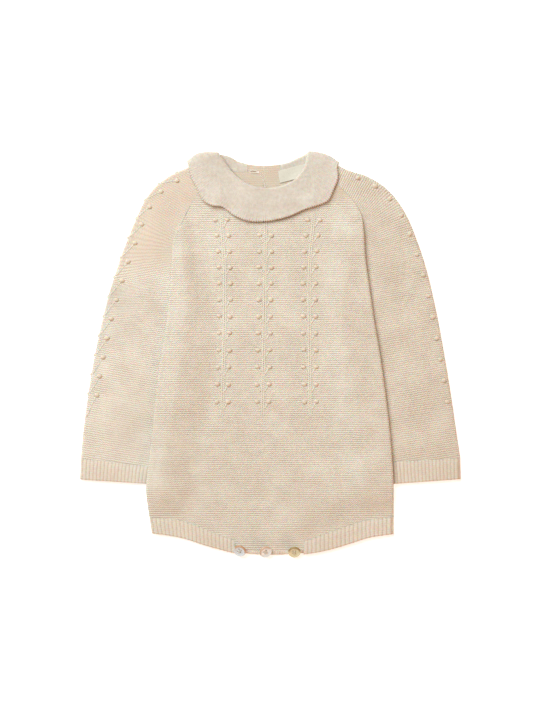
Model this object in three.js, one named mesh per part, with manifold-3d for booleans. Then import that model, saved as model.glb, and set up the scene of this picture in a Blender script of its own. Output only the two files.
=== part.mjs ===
// A baby's hand-knit romper laid out flat, face up, neck towards +Y. Millimetres, +Z up.
// The origin is on the surface that the romper lies on, under the middle of its body.
// Left and right are as they are seen from the front.

import * as THREE from 'three';
import Module from 'manifold-3d';

const wasm = await Module();
wasm.setup();

// Driving dimensions.
const WALL = 2.2; // thickness of the knitted cloth
const SEAM = 0.3; // gap between two pieces at a seam
const SLANT = { raglan: 1.35, hem: 1.2, cuff: 1.3 }; // a seam's gap along X or Y, where it runs aslant
const CLEAR = 0.5; // gap between a layer and the one that it lies on
const SLACK = 1.4; // least room between the front and the back of a tube
const PILLOW = 1.8; // further room in the middle of the body
const PUFF = 1.6; // further room in the middle of a sleeve
const EDGE = (2 * WALL + SLACK) / 2; // outer radius where a tube folds flat
const UNDER_SLEEVE = 2 * EDGE + CLEAR; // height of the body where it lies on a sleeve
const UNDER_COLLAR = WALL + CLEAR; // height of the back where the collar is turned under it

const NECK = { x: 1, y: 184, halfWidth: 46, front: 22, back: 2.4 };
const BACK_BUTTON = { x: 6.5, y: 180, radius: 5.6, thick: 2.2 };
const PATTERN = { top: 139.5, pitch: 16.65, rows: 12 };
const BOBBLE = { radius: 2.7, crown: 1.6, height: 2.3, sides: 6 };
const BRANCH = { height: 0.9, halfWidth: 0.9 };
const STEM = { height: 0.8, halfWidth: 1.7 };
const PAIR = { reach: 10.6, centre: 6.1, fromTop: 4.5 };
const RIB = { height: 0.8, cuff: 23, leg: 21 }; // height, and how many ribs across one layer

// The three bobble columns of the front: centre lines at the top, middle and bottom of the pattern.
const COLUMNS = [
  { top: -42.7, middle: -41.2, bottom: -43.9 },
  { top: -0.7, middle: -1.3, bottom: -3.6 },
  { top: 47.4, middle: 44.1, bottom: 44.2 },
];

// Outline of the body from the end of the neck down: raglan seam to the underarm, then side seam.
const LEFT_SIDE = [
  { y: 184, x: -45 }, { y: 169, x: -60.5 }, { y: 154, x: -72.5 }, { y: 139.5, x: -81 },
  { y: 123, x: -89 }, { y: 112, x: -93 }, { y: 92, x: -94.2 }, { y: 67, x: -96.2 },
  { y: 23, x: -100.5 }, { y: -18, x: -107.5 }, { y: -61, x: -112 }, { y: -114, x: -117.5 },
  { y: -136, x: -119.8 }, { y: -154, x: -118.2 }, { y: -180, x: -114.5 },
];
const RIGHT_SIDE = [
  { y: 184, x: 47 }, { y: 169, x: 71.5 }, { y: 154, x: 86.5 }, { y: 139.5, x: 94.6 },
  { y: 123, x: 97.9 }, { y: 112, x: 98.4 }, { y: 92, x: 100 }, { y: 67, x: 103.5 },
  { y: 34, x: 108.2 }, { y: 6, x: 113 }, { y: -25, x: 117.5 }, { y: -71, x: 123.2 },
  { y: -114, x: 126.6 }, { y: -146, x: 127.6 }, { y: -180, x: 128 },
];
const UNDERARM = { left: 112, right: 134 };

// Lower end of the body: the line where the bands are sewn on, and the bands' own edge.
const HEM = [
  { x: -120, sewn: -163, edge: -179 }, { x: -101, sewn: -164.5, edge: -181.2 },
  { x: -82, sewn: -167, edge: -184.8 }, { x: -62, sewn: -174.5, edge: -191.3 },
  { x: -48, sewn: -180.4, edge: -195.2 }, { x: -30, sewn: -186, edge: -199.6 },
  { x: -1, sewn: -187, edge: -202.2 }, { x: 37, sewn: -186.5, edge: -200.6 },
  { x: 61, sewn: -179, edge: -196.6 }, { x: 84, sewn: -171, edge: -190 },
  { x: 103, sewn: -165.8, edge: -184 }, { x: 129, sewn: -162.5, edge: -180 },
];
const CROTCH = { left: -31, right: 38, inset: 1 }; // its plain edge lies a little inside the bands' edge
const LOW_END = -163; // height that the lowest rows of the body are counted down to

// Sleeve sections from the neck to the cuff: a point on the outer fold and one on the underarm fold.
// The rows from the second on are one bobble pitch apart.
const LEFT_SLEEVE = [
  { ox: -50.6, oy: 200, ix: -93.9, iy: 111 }, { ox: -78.5, oy: 186.6, ix: -94.5, iy: 105 },
  { ox: -96, oy: 178.5, ix: -95, iy: 100 }, { ox: -111.5, oy: 167, ix: -95, iy: 95.5 },
  { ox: -122.5, oy: 152, ix: -93, iy: 88.5 }, { ox: -130.5, oy: 135, ix: -88.5, iy: 76 },
  { ox: -138, oy: 117, ix: -84, iy: 67.5 }, { ox: -145, oy: 99, ix: -79.5, iy: 55 },
  { ox: -151, oy: 81, ix: -77, iy: 40 }, { ox: -156.8, oy: 63, ix: -75.8, iy: 25 },
  { ox: -161.6, oy: 44.5, ix: -76.2, iy: 12 }, { ox: -166, oy: 26, ix: -77.8, iy: -2 },
  { ox: -170, oy: 7.5, ix: -80.2, iy: -16 }, { ox: -173.6, oy: -11, ix: -83, iy: -32 },
  { ox: -176.6, oy: -29.5, ix: -85.8, iy: -49 }, { ox: -179.6, oy: -49, ix: -89, iy: -66 },
  { ox: -183, oy: -76, ix: -93.5, iy: -90 }, { ox: -185.6, oy: -104.5, ix: -97.5, iy: -114.5 },
];
const RIGHT_SLEEVE = [
  { ox: 45.3, oy: 200.9, ix: 98, iy: 132.5 }, { ox: 81, oy: 184.4, ix: 99, iy: 126 },
  { ox: 101, oy: 178, ix: 99.7, iy: 121 }, { ox: 118.5, oy: 167.5, ix: 100, iy: 116.5 },
  { ox: 132, oy: 153, ix: 98.6, iy: 108 }, { ox: 142.5, oy: 135.5, ix: 94.5, iy: 96 },
  { ox: 150.5, oy: 116, ix: 90, iy: 84 }, { ox: 157.5, oy: 96, ix: 86, iy: 70 },
  { ox: 163.3, oy: 75.5, ix: 84, iy: 54 }, { ox: 168, oy: 55, ix: 83.6, iy: 37 },
  { ox: 172.4, oy: 34, ix: 85, iy: 19.5 }, { ox: 176.3, oy: 13, ix: 87, iy: 1 },
  { ox: 180, oy: -8, ix: 89.8, iy: -18 }, { ox: 183.5, oy: -29, ix: 93, iy: -37 },
  { ox: 186.7, oy: -50, ix: 96.4, iy: -57 }, { ox: 189.3, oy: -68, ix: 99.5, iy: -75 },
  { ox: 192, oy: -86, ix: 102.6, iy: -92 }, { ox: 194.6, oy: -104, ix: 105.6, iy: -109 },
];
const CUFFS = {
  left: { ox: -186.6, oy: -125.6, ix: -100, iy: -131 },
  right: { ox: 195.2, oy: -125.2, ix: 107.5, iy: -131.5 },
};
const BOBBLED_SECTIONS = 13;

// Where the body stops lying on a sleeve, at each side.
const RAMP = [
  { y: 160, left: -88, right: 90 }, { y: 112, left: -86, right: 91 }, { y: 92, left: -85, right: 88 },
  { y: 64, left: -79, right: 81 }, { y: 30, left: -73, right: 79 }, { y: 0, left: -74.5, right: 82 },
  { y: -40, left: -81, right: 89 }, { y: -80, left: -89, right: 96 }, { y: -131, left: -97, right: 103 },
  { y: -160, left: -101, right: 108 },
];
const RAMP_WIDTH = { back: 22, front: 29 };

// Soft troughs and ridges of the front, from one end to the other.
const CREASES = [
  { x0: -70, y0: 110, x1: -76, y1: -60, width: 9, rise: -0.9 },
  { x0: -88, y0: -120, x1: -98, y1: -152, width: 8, rise: -0.8 },
  { x0: -78, y0: -146, x1: -52, y1: -168, width: 8, rise: -0.9 },
  { x0: -60, y0: -118, x1: -84, y1: -136, width: 10, rise: 0.9 },
  { x0: 50, y0: -150, x1: 58, y1: -176, width: 7, rise: -0.9 },
  { x0: 72, y0: -112, x1: 96, y1: -140, width: 10, rise: 0.8 },
  { x0: 20, y0: 40, x1: 18, y1: -40, width: 12, rise: 0.5 },
  { x0: 66, y0: 20, x1: 74, y1: -70, width: 10, rise: -0.6 },
];

const clamp01 = (t) => Math.min(1, Math.max(0, t));
const lerp = (a, b, t) => a + (b - a) * t;
const range = (n) => Array.from({ length: n }, (_, i) => i);

// Goes from 0 at a to 1 at b, with level ends. a may be above b.
function ease(a, b, x) {
  const t = clamp01((x - a) / (b - a));
  return t * t * (3 - 2 * t);
}

// Reads a column of a table at any key, on a smooth curve through its rows.
function read(rows, key, column, at) {
  const up = rows[rows.length - 1][key] > rows[0][key];
  const last = rows.length - 2;
  let i = 0;
  while (i < last && (up ? at > rows[i + 1][key] : at < rows[i + 1][key])) i += 1;
  const slope = (n) => {
    const a = rows[Math.max(0, n - 1)];
    const b = rows[Math.min(rows.length - 1, n + 1)];
    return (b[column] - a[column]) / (b[key] - a[key]);
  };
  const h = rows[i + 1][key] - rows[i][key];
  const t = clamp01((at - rows[i][key]) / h);
  const [t2, t3] = [t * t, t * t * t];
  return (2 * t3 - 3 * t2 + 1) * rows[i][column] + (t3 - 2 * t2 + t) * h * slope(i)
    + (3 * t2 - 2 * t3) * rows[i + 1][column] + (t3 - t2) * h * slope(i + 1);
}

// Height of a line of points at x, straight from point to point.
function straight(line, x) {
  const k = Math.min(line.length - 2, Math.max(0, line.findIndex((p, n) => n > 0 && x < p.x) - 1));
  const [a, b] = [line[k], line[k + 1]];
  return lerp(a.y, b.y, clamp01((x - a.x) / (b.x - a.x)));
}

const numbered = (rows) => rows.map((row, n) => ({ ...row, n }));

// Plan of the body.
const sideX = (side, y) => read(side < 0 ? LEFT_SIDE : RIGHT_SIDE, 'y', 'x', y);
const hemY = (column, x) => read(HEM, 'x', column, x);

function neckY(x, depth) {
  const t = (x - NECK.x) / NECK.halfWidth;
  return NECK.y - depth * Math.sqrt(Math.max(0, 1 - t * t));
}

// Height that the collar, turned under the back, and the back button give to what lies on them.
function collarLift(x, y) {
  const collar = 1 - ease(1.12, 1.52, Math.hypot(x / 80, (y - 194) / 38));
  const button = 1 - ease(9, 22, Math.hypot(x - BACK_BUTTON.x, y - BACK_BUTTON.y));
  return UNDER_COLLAR * Math.max(collar, button);
}

// Height that a sleeve gives to the body that lies on it.
function sleeveLift(x, y, width) {
  return [-1, 1].reduce((sum, side) => {
    const underarm = side < 0 ? UNDERARM.left : UNDERARM.right;
    const at = Math.min(RAMP[0].y, Math.max(RAMP[RAMP.length - 1].y, y));
    const start = read(RAMP, 'y', side < 0 ? 'left' : 'right', at);
    const rise = 0.55 * ease(underarm + 40, underarm, y) + 0.45 * ease(underarm, underarm - 16, y);
    const across = 1 - ease(0, width, (start - x) * side);
    const top = UNDER_SLEEVE + (RIB.height + SEAM) * ease(-92, -108, y);
    return sum + top * rise * (1 - ease(-135, -160, y)) * across;
  }, 0);
}

function crease(x, y) {
  return CREASES.reduce((sum, c) => {
    const [dx, dy] = [c.x1 - c.x0, c.y1 - c.y0];
    const t = ((x - c.x0) * dx + (y - c.y0) * dy) / (dx * dx + dy * dy);
    const away = Math.hypot(x - c.x0 - clamp01(t) * dx, y - c.y0 - clamp01(t) * dy);
    return sum + c.rise * Math.exp(-((away / c.width) ** 2));
  }, 0);
}

// Undersides of the back and of the front of the body, before their edges roll.
const backBase = (x, y) => collarLift(x, y) + sleeveLift(x, y, RAMP_WIDTH.back);

function frontBase(x, y) {
  const low = x > CROTCH.left && x < CROTCH.right ? 'edge' : 'sewn';
  const ends = Math.min(y - hemY(low, x), neckY(x, NECK.front) - y);
  const inside = Math.min(x - sideX(-1, y), sideX(1, y) - x, ends);
  const room = ease(2, 32, inside);
  const lift = collarLift(x, y) + sleeveLift(x, y, RAMP_WIDTH.front);
  return lift + WALL + SLACK + room * (PILLOW + crease(x, y));
}

// Solids.

// A closed wall between two grids of points. The inner one is plain, and a cell of the outer one
// may carry a boss. A ring closes on itself across its columns. Handed is -1 where the columns run
// the other way round, so that a boss still stands outwards.
function wall({ rows, columns, ring = false, handed = 1, outer, inner, boss }) {
  const points = [];
  const faces = [];
  const across = ring ? columns : columns + 1;
  const grid = (at) => range(rows + 1).map((i) => range(across).map((j) => {
    points.push(at(i, j));
    return points.length - 1;
  }));
  const out = grid(outer);
  const back = grid(inner);
  const next = (j) => (j + 1) % across;
  const quad = (a, b, c, d) => faces.push([a, b, c], [a, c, d]);
  for (const i of range(rows)) {
    for (const j of range(columns)) {
      const corners = [out[i][j], out[i + 1][j], out[i + 1][next(j)], out[i][next(j)]];
      const shape = boss ? boss(i, j) : null;
      if (shape) addBoss(points, faces, corners, { handed, ...shape });
      else quad(...corners);
      quad(back[i][j], back[i][next(j)], back[i + 1][next(j)], back[i + 1][j]);
    }
  }
  for (const j of range(columns)) {
    quad(out[0][j], out[0][next(j)], back[0][next(j)], back[0][j]);
    quad(out[rows][j], back[rows][j], back[rows][next(j)], out[rows][next(j)]);
  }
  if (!ring) {
    for (const i of range(rows)) {
      quad(out[i][0], back[i][0], back[i + 1][0], out[i + 1][0]);
      quad(out[i][columns], out[i + 1][columns], back[i + 1][columns], back[i][columns]);
    }
  }
  return solid(points, faces);
}

// Fills one cell with a bobble and the slanting stitch that leads to it. The shape gives them as
// shares of the cell, across and down.
function addBoss(points, faces, corners, shape) {
  const [a, b, c, d] = corners.map((n) => points[n]);
  const normal = c.clone().sub(a).cross(d.clone().sub(b)).setLength(shape.handed);
  const [wide, high] = [a.distanceTo(d), a.distanceTo(b)];
  const at = (u, v, rise) => a.clone().multiplyScalar((1 - u) * (1 - v))
    .addScaledVector(d, u * (1 - v)).addScaledVector(b, (1 - u) * v)
    .addScaledVector(c, u * v).addScaledVector(normal, rise);
  const flat = [[0, 0], [0, high], [wide, high], [wide, 0]].map((p) => new THREE.Vector2(...p));
  const index = [...corners];
  const holes = [];
  const add = (p, rise) => {
    points.push(at(p.x / wide, p.y / high, rise));
    return points.length - 1;
  };
  const outline = (path, rise = 0) => {
    const numbers = path.map((p) => add(p, rise));
    if (rise === 0) {
      holes.push(path);
      index.push(...numbers);
    }
    return numbers;
  };
  const loop = (first, second) => first.forEach((n, k) => {
    const m = (k + 1) % first.length;
    faces.push([n, first[m], second[m]], [n, second[m], second[k]]);
  });
  const narrow = (shape.across ?? BOBBLE.radius) / BOBBLE.radius;
  const circle = (radius) => range(BOBBLE.sides).map((k) => {
    const turn = -2 * Math.PI * (k + 0.5) / BOBBLE.sides;
    const [du, dv] = [radius * narrow * Math.cos(turn), radius * Math.sin(turn)];
    return new THREE.Vector2(shape.u * wide + du, shape.v * high + dv);
  });
  const foot = outline(circle(BOBBLE.radius));
  const crown = outline(circle(BOBBLE.crown), shape.rise ?? BOBBLE.height);
  loop(foot, crown);
  for (const k of range(BOBBLE.sides - 2)) faces.push([crown[0], crown[k + 1], crown[k + 2]]);
  if (shape.branch) {
    const [from, to] = shape.branch.map(([u, v]) => new THREE.Vector2(u * wide, v * high));
    const along = to.clone().sub(from);
    const aside = new THREE.Vector2(-along.y, along.x).setLength(BRANCH.halfWidth);
    const middle = from.clone().lerp(to, 0.5);
    const lens = outline([from, middle.clone().add(aside), to, middle.clone().sub(aside)]);
    const ridge = add(middle, BRANCH.height);
    lens.forEach((n, k) => faces.push([n, lens[(k + 1) % 4], ridge]));
  }
  const plan = [...flat, ...holes.flat()];
  for (const [i, j, k] of THREE.ShapeUtils.triangulateShape(flat, holes)) {
    const turn = (plan[j].x - plan[i].x) * (plan[k].y - plan[i].y)
      - (plan[j].y - plan[i].y) * (plan[k].x - plan[i].x);
    faces.push(turn < 0 ? [index[i], index[j], index[k]] : [index[i], index[k], index[j]]);
  }
}

// A geometry from points and triangles, turned outwards as a whole.
function solid(points, faces) {
  const volume = faces.reduce((sum, [a, b, c]) => sum
    + points[a].dot(points[b].clone().cross(points[c])), 0);
  const outward = volume > 0 ? faces : faces.map(([a, b, c]) => [a, c, b]);
  const geometry = new THREE.BufferGeometry();
  geometry.setAttribute('position', new THREE.Float32BufferAttribute(points.flatMap((p) => p.toArray()), 3));
  geometry.setIndex(outward.flat());
  return geometry;
}

const at3 = (x, y, z) => new THREE.Vector3(x, y, z);
const D = Math.PI / 180;

// Sewn shape of the body. Both panels share their sides; each has its own neck.
const TAB = { left: -18.2, right: 14.2, top: 188.5 };
const SLIT = { x: -2.1, width: 0.5, end: 132 };
const BUTTONHOLE = { x: -11, y: 182.3, length: 8, width: 1.4 };
const CUTTER = { length: 80, height: 20 }; // long and tall enough to cut through
const PATTERN_END = PATTERN.top - PATTERN.rows * PATTERN.pitch;

const columnX = (column, y) => {
  const middle = (PATTERN.top + PATTERN_END) / 2;
  return y > middle
    ? lerp(column.middle, column.top, clamp01((y - middle) / (PATTERN.top - middle)))
    : lerp(column.middle, column.bottom, clamp01((middle - y) / (middle - PATTERN_END)));
};

// How far the side of the body is rolled down to its side seam: none at the raglan seam.
function rollAt(side, y) {
  const underarm = side < 0 ? UNDERARM.left : UNDERARM.right;
  return ease(underarm, underarm - 12, y);
}

// The columns of a body panel are insets from a side (first and last three) or shares of the width.
const ROLL = [0, 45, 90];

function frontShares(y) {
  const [left, right] = [sideX(-1, y) + EDGE, sideX(1, y) - EDGE];
  const lines = COLUMNS.flatMap((column) => {
    const x = columnX(column, y);
    return [-PAIR.reach, -STEM.halfWidth, 0, STEM.halfWidth, PAIR.reach].map((d) => x + d);
  });
  const between = [4, 9].map((n) => (lines[n] + lines[n + 1]) / 2);
  const xs = [lerp(left, lines[0], 0.3), lerp(left, lines[0], 0.65), ...lines.slice(0, 5), between[0],
    ...lines.slice(5, 10), between[1], ...lines.slice(10), lerp(lines[14], right, 0.35),
    lerp(lines[14], right, 0.7)];
  return xs.map((x) => (x - left) / (right - left));
}

// Grid places of a body panel: rows go from the neck to the hem.
function panelPlaces({ sharesAt, topRows, middleRows, bottomRows, neck, hemColumns }) {
  const start = middleRows[0];
  const end = middleRows[middleRows.length - 1];
  const places = [];
  const place = (shares, level, yOf) => {
    const [left, right] = [sideX(-1, level), sideX(1, level)];
    const inset = (theta) => EDGE * (1 - Math.cos(theta * D));
    const row = ROLL.map((theta) => ({ x: left + inset(theta), theta, side: -1 }));
    for (const share of shares) {
      row.push({ x: lerp(left + EDGE, right - EDGE, share), theta: null, side: 0 });
    }
    for (const theta of [...ROLL].reverse()) row.push({ x: right - inset(theta), theta, side: 1 });
    row.forEach((p, j) => {
      p.share = (p.x - left) / (right - left);
      p.y = yOf(p, j);
    });
    places.push(row);
  };
  const topShares = sharesAt(start);
  for (const s of topRows) {
    place(topShares, lerp(NECK.y, start, s), (p, j) => {
      const atNeck = neck(lerp(sideX(-1, NECK.y), sideX(1, NECK.y), p.share), j);
      return lerp(atNeck, start, s);
    });
  }
  for (const y of middleRows) place(sharesAt(y), y, () => y);
  const lowShares = sharesAt(end);
  for (const t of bottomRows) {
    place(lowShares, lerp(end, LOW_END, t), (p, j) => {
      const slide = hemColumns[j];
      if (slide !== undefined) p.x = lerp(p.x, slide, ease(0.2, 0.9, t));
      const at = slide ?? p.x;
      p.crotch = at > CROTCH.left && at < CROTCH.right;
      const hem = p.crotch ? hemY('edge', p.x) + CROTCH.inset : hemY('sewn', p.x);
      return lerp(end, hem, t);
    });
  }
  return places;
}

// Height of the point of a panel: layer 1 is the front and -1 the back.
function panelPoint(p, layer, outer, bump = 0, hemRoll = null) {
  const base = backBase(p.x, p.y);
  const front = frontBase(p.x, p.y) + (outer ? WALL + bump : 0);
  const away = layer > 0 ? front : base + (outer ? 0 : WALL);
  let [x, y, z] = [p.x, p.y, away];
  const turn = (theta) => {
    const r = outer ? EDGE : EDGE - WALL;
    const up = r * Math.sin(theta * D) + (theta === 0 ? SEAM / 2 : 0);
    return { in: EDGE - r * Math.cos(theta * D), z: base + EDGE + layer * up };
  };
  if (p.theta !== null) {
    const q = rollAt(p.side, p.y);
    const t = turn(p.theta);
    z = lerp(away, t.z, q);
    x += -p.side * q * (t.in - EDGE * (1 - Math.cos(p.theta * D)));
  } else if (p.crotch && hemRoll !== null) {
    const t = turn(hemRoll);
    z = t.z;
    y = hemY('edge', x) + CROTCH.inset + t.in;
  }
  return at3(x, y, z);
}

const TOP_ROWS = [0, 0.33, 0.68];
const LOW_ROWS = [0.095, 0.3, 0.5, 0.73, 0.86, 0.95, 0.98, 0.99, 1];
const HEM_ROLL = { 0.98: 90, 0.99: 45, 1: 0 };

const FRONT_FIRST = ROLL.length + 2; // first column of the bobble pattern

function frontPlaces() {
  const first = FRONT_FIRST;
  const hemColumns = {
    [first + 3]: CROTCH.left - 0.5,
    [first + 4]: CROTCH.left + 0.1,
    [first + 12]: CROTCH.right - 0.1,
    [first + 13]: CROTCH.right + 0.5,
  };
  return panelPlaces({
    sharesAt: frontShares,
    topRows: TOP_ROWS,
    middleRows: range(PATTERN.rows + 1).map((k) => PATTERN.top - k * PATTERN.pitch),
    bottomRows: LOW_ROWS,
    neck: (x) => neckY(x, NECK.front),
    hemColumns,
  });
}

function frontPanel() {
  const places = frontPlaces();
  const stems = [2, 8, 14].map((n) => FRONT_FIRST + n);
  const rows = places.length - 1;
  const columns = places[0].length - 1;
  const lowStart = places.length - LOW_ROWS.length;
  const rollOf = (i) => (i >= lowStart ? HEM_ROLL[LOW_ROWS[i - lowStart]] ?? null : null);
  const stem = (i, j) => (stems.includes(j) && i >= TOP_ROWS.length && i < lowStart ? STEM.height : 0);
  const u = (PAIR.centre - STEM.halfWidth) / (PAIR.reach - STEM.halfWidth);
  const v = PAIR.fromTop / PATTERN.pitch;
  const boss = (i, j) => {
    const k = i - TOP_ROWS.length;
    if (k < 0 || k >= PATTERN.rows) return null;
    const leftOf = stems.indexOf(j + 2);
    const rightOf = stems.indexOf(j - 1);
    if (leftOf < 0 && rightOf < 0) return null;
    if (k === 0 && (leftOf === 1 || rightOf === 1)) return null;
    const flip = (share) => (leftOf >= 0 ? 1 - share : share);
    const branch = [[flip(0.03), v + 0.46], [flip(u - 0.22), v + 0.2]];
    return { u: flip(u), v, branch };
  };
  return wall({
    rows,
    columns,
    outer: (i, j) => panelPoint(places[i][j], 1, true, stem(i, j), rollOf(i)),
    inner: (i, j) => panelPoint(places[i][j], 1, false, 0, rollOf(i)),
    boss,
  });
}

// Columns of the back beside its two tabs at the neck and beside the crotch at the hem.
const BACK_COLUMNS = [
  { y: 139.5, a: -24, b: -17, c: 13, d: 24 }, { y: -60, a: -36, b: -24, c: 26, d: 40 },
];

function backShares(y) {
  const [left, right] = [sideX(-1, y) + EDGE, sideX(1, y) - EDGE];
  const [a, b, c, d] = ['a', 'b', 'c', 'd'].map((column) => read(BACK_COLUMNS, 'y', column, y));
  const xs = [lerp(left, a, 0.17), lerp(left, a, 0.34), lerp(left, a, 0.52), lerp(left, a, 0.74), a, b,
    SLIT.x, c, d, lerp(d, right, 0.26), lerp(d, right, 0.48), lerp(d, right, 0.66), lerp(d, right, 0.83)];
  return xs.map((x) => (x - left) / (right - left));
}

const BACK_FIRST = ROLL.length + 4; // first of the columns beside the tabs and the crotch

function backPlaces() {
  const middleRows = [0, 1, 2].map((k) => PATTERN.top - k * PATTERN.pitch).concat([88, 66, 40, 10, -20, -60]);
  const first = BACK_FIRST;
  const places = panelPlaces({
    sharesAt: backShares,
    topRows: TOP_ROWS,
    middleRows,
    bottomRows: LOW_ROWS,
    neck: (x, j) => (j > first && j < first + 4 ? TAB.top : neckY(x, NECK.back)),
    hemColumns: {
      [first]: CROTCH.left - 0.5,
      [first + 1]: CROTCH.left + 0.1,
      [first + 3]: CROTCH.right - 0.1,
      [first + 4]: CROTCH.right + 0.5,
    },
  });
  const steps = [TAB.left - 0.3, TAB.left, SLIT.x, TAB.right, TAB.right + 0.3];
  steps.forEach((x, k) => { places[0][first + k].x = x; });
  for (const k of [0, 4]) places[0][first + k].y = neckY(steps[k], NECK.back);
  return places;
}

function backPanel() {
  const places = backPlaces();
  const lowStart = places.length - LOW_ROWS.length;
  const rollOf = (i) => (i >= lowStart ? HEM_ROLL[LOW_ROWS[i - lowStart]] ?? null : null);
  const sheet = wall({
    rows: places.length - 1,
    columns: places[0].length - 1,
    outer: (i, j) => panelPoint(places[i][j], -1, true, 0, rollOf(i)),
    inner: (i, j) => panelPoint(places[i][j], -1, false, 0, rollOf(i)),
  });
  const slit = new THREE.BoxGeometry(SLIT.width, CUTTER.length, CUTTER.height)
    .translate(SLIT.x, SLIT.end + CUTTER.length / 2, WALL);
  const hole = new THREE.BoxGeometry(BUTTONHOLE.length, BUTTONHOLE.width, CUTTER.height)
    .translate(BUTTONHOLE.x, BUTTONHOLE.y, WALL);
  return cut(sheet, [slit, hole]);
}

// Joins and cuts.
function toManifold(geometry) {
  const { Manifold, Mesh } = wasm;
  const position = geometry.getAttribute('position');
  const index = geometry.index ? Array.from(geometry.index.array) : range(position.count);
  const keys = new Map();
  const points = [];
  const number = range(position.count).map((n) => {
    const p = [position.getX(n), position.getY(n), position.getZ(n)];
    const key = p.map((value) => value.toFixed(5)).join();
    if (!keys.has(key)) {
      keys.set(key, points.length / 3);
      points.push(...p);
    }
    return keys.get(key);
  });
  const corners = [];
  for (let k = 0; k < index.length; k += 3) {
    const [a, b, c] = [number[index[k]], number[index[k + 1]], number[index[k + 2]]];
    if (a !== b && b !== c && a !== c) corners.push(a, b, c);
  }
  const mesh = new Mesh({
    numProp: 3, vertProperties: new Float32Array(points), triVerts: new Uint32Array(corners),
  });
  mesh.merge();
  return new Manifold(mesh);
}

function fromManifold(body) {
  const mesh = body.getMesh();
  const geometry = new THREE.BufferGeometry();
  geometry.setAttribute('position', new THREE.Float32BufferAttribute(Array.from(mesh.vertProperties), 3));
  geometry.setIndex(Array.from(mesh.triVerts));
  return geometry;
}

function cut(geometry, cutters) {
  const body = cutters.reduce((rest, cutter) => rest.subtract(toManifold(cutter)), toManifold(geometry));
  return fromManifold(body);
}

// Sleeves, cuffs and leg bands are tubes folded flat. A station is a place round the tube: on one of
// its two folds, or at a distance or a share of the width on its upper or lower layer.
function station(place, width, outer) {
  const r = outer ? EDGE : EDGE - WALL;
  if (place.theta !== undefined) {
    const inset = EDGE - r * Math.cos(place.theta * D);
    return { along: place.end === 'near' ? inset : width - inset, fold: r * Math.sin(place.theta * D) };
  }
  const near = place.near === undefined || outer ? place.near : Math.max(place.near, EDGE);
  return { along: near ?? (place.far === undefined ? width * place.share : width - place.far), fold: null };
}

const nearFold = (theta) => ({ end: 'near', theta, layer: Math.sign(theta) });
const farFold = (theta) => ({ end: 'far', theta, layer: Math.sign(theta) });

// Row of the raglan seam: the neck end of the sleeve, then its seam with the body. The seam's points
// are at the rows of the body panels.
const SEAM_SHARES = [0.15, 0.28, 0.46, 0.64, 0.82, 1];
const seamRow = (s) => lerp(NECK.y, PATTERN.top, s);

function raglanPlace(side, start, share) {
  const underarm = side < 0 ? UNDERARM.left : UNDERARM.right;
  const gap = side * SEAM * SLANT.raglan;
  const corner = { x: sideX(side, NECK.y) + gap, y: NECK.y };
  if (share < SEAM_SHARES[0]) {
    const t = share / SEAM_SHARES[0];
    return { x: lerp(start.ox, corner.x, t), y: lerp(start.oy, corner.y, t) };
  }
  const nextRow = PATTERN.top - PATTERN.pitch;
  const low = nextRow > underarm ? nextRow : lerp(PATTERN.top, underarm, 0.5);
  const ys = [...[...TOP_ROWS, 1].map(seamRow), low, underarm];
  const k = Math.min(4, SEAM_SHARES.findLastIndex((value) => share >= value));
  const y = lerp(ys[k], ys[k + 1], (share - SEAM_SHARES[k]) / (SEAM_SHARES[k + 1] - SEAM_SHARES[k]));
  return { x: sideX(side, y) + gap, y };
}

const SLEEVE_FADE = [1, 0.55, 0.2, 0]; // share of the body's lift that each row of a sleeve takes
const UNDERARM_WALL = 7; // further wall where the rows of a sleeve meet its fold at a low angle

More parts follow.
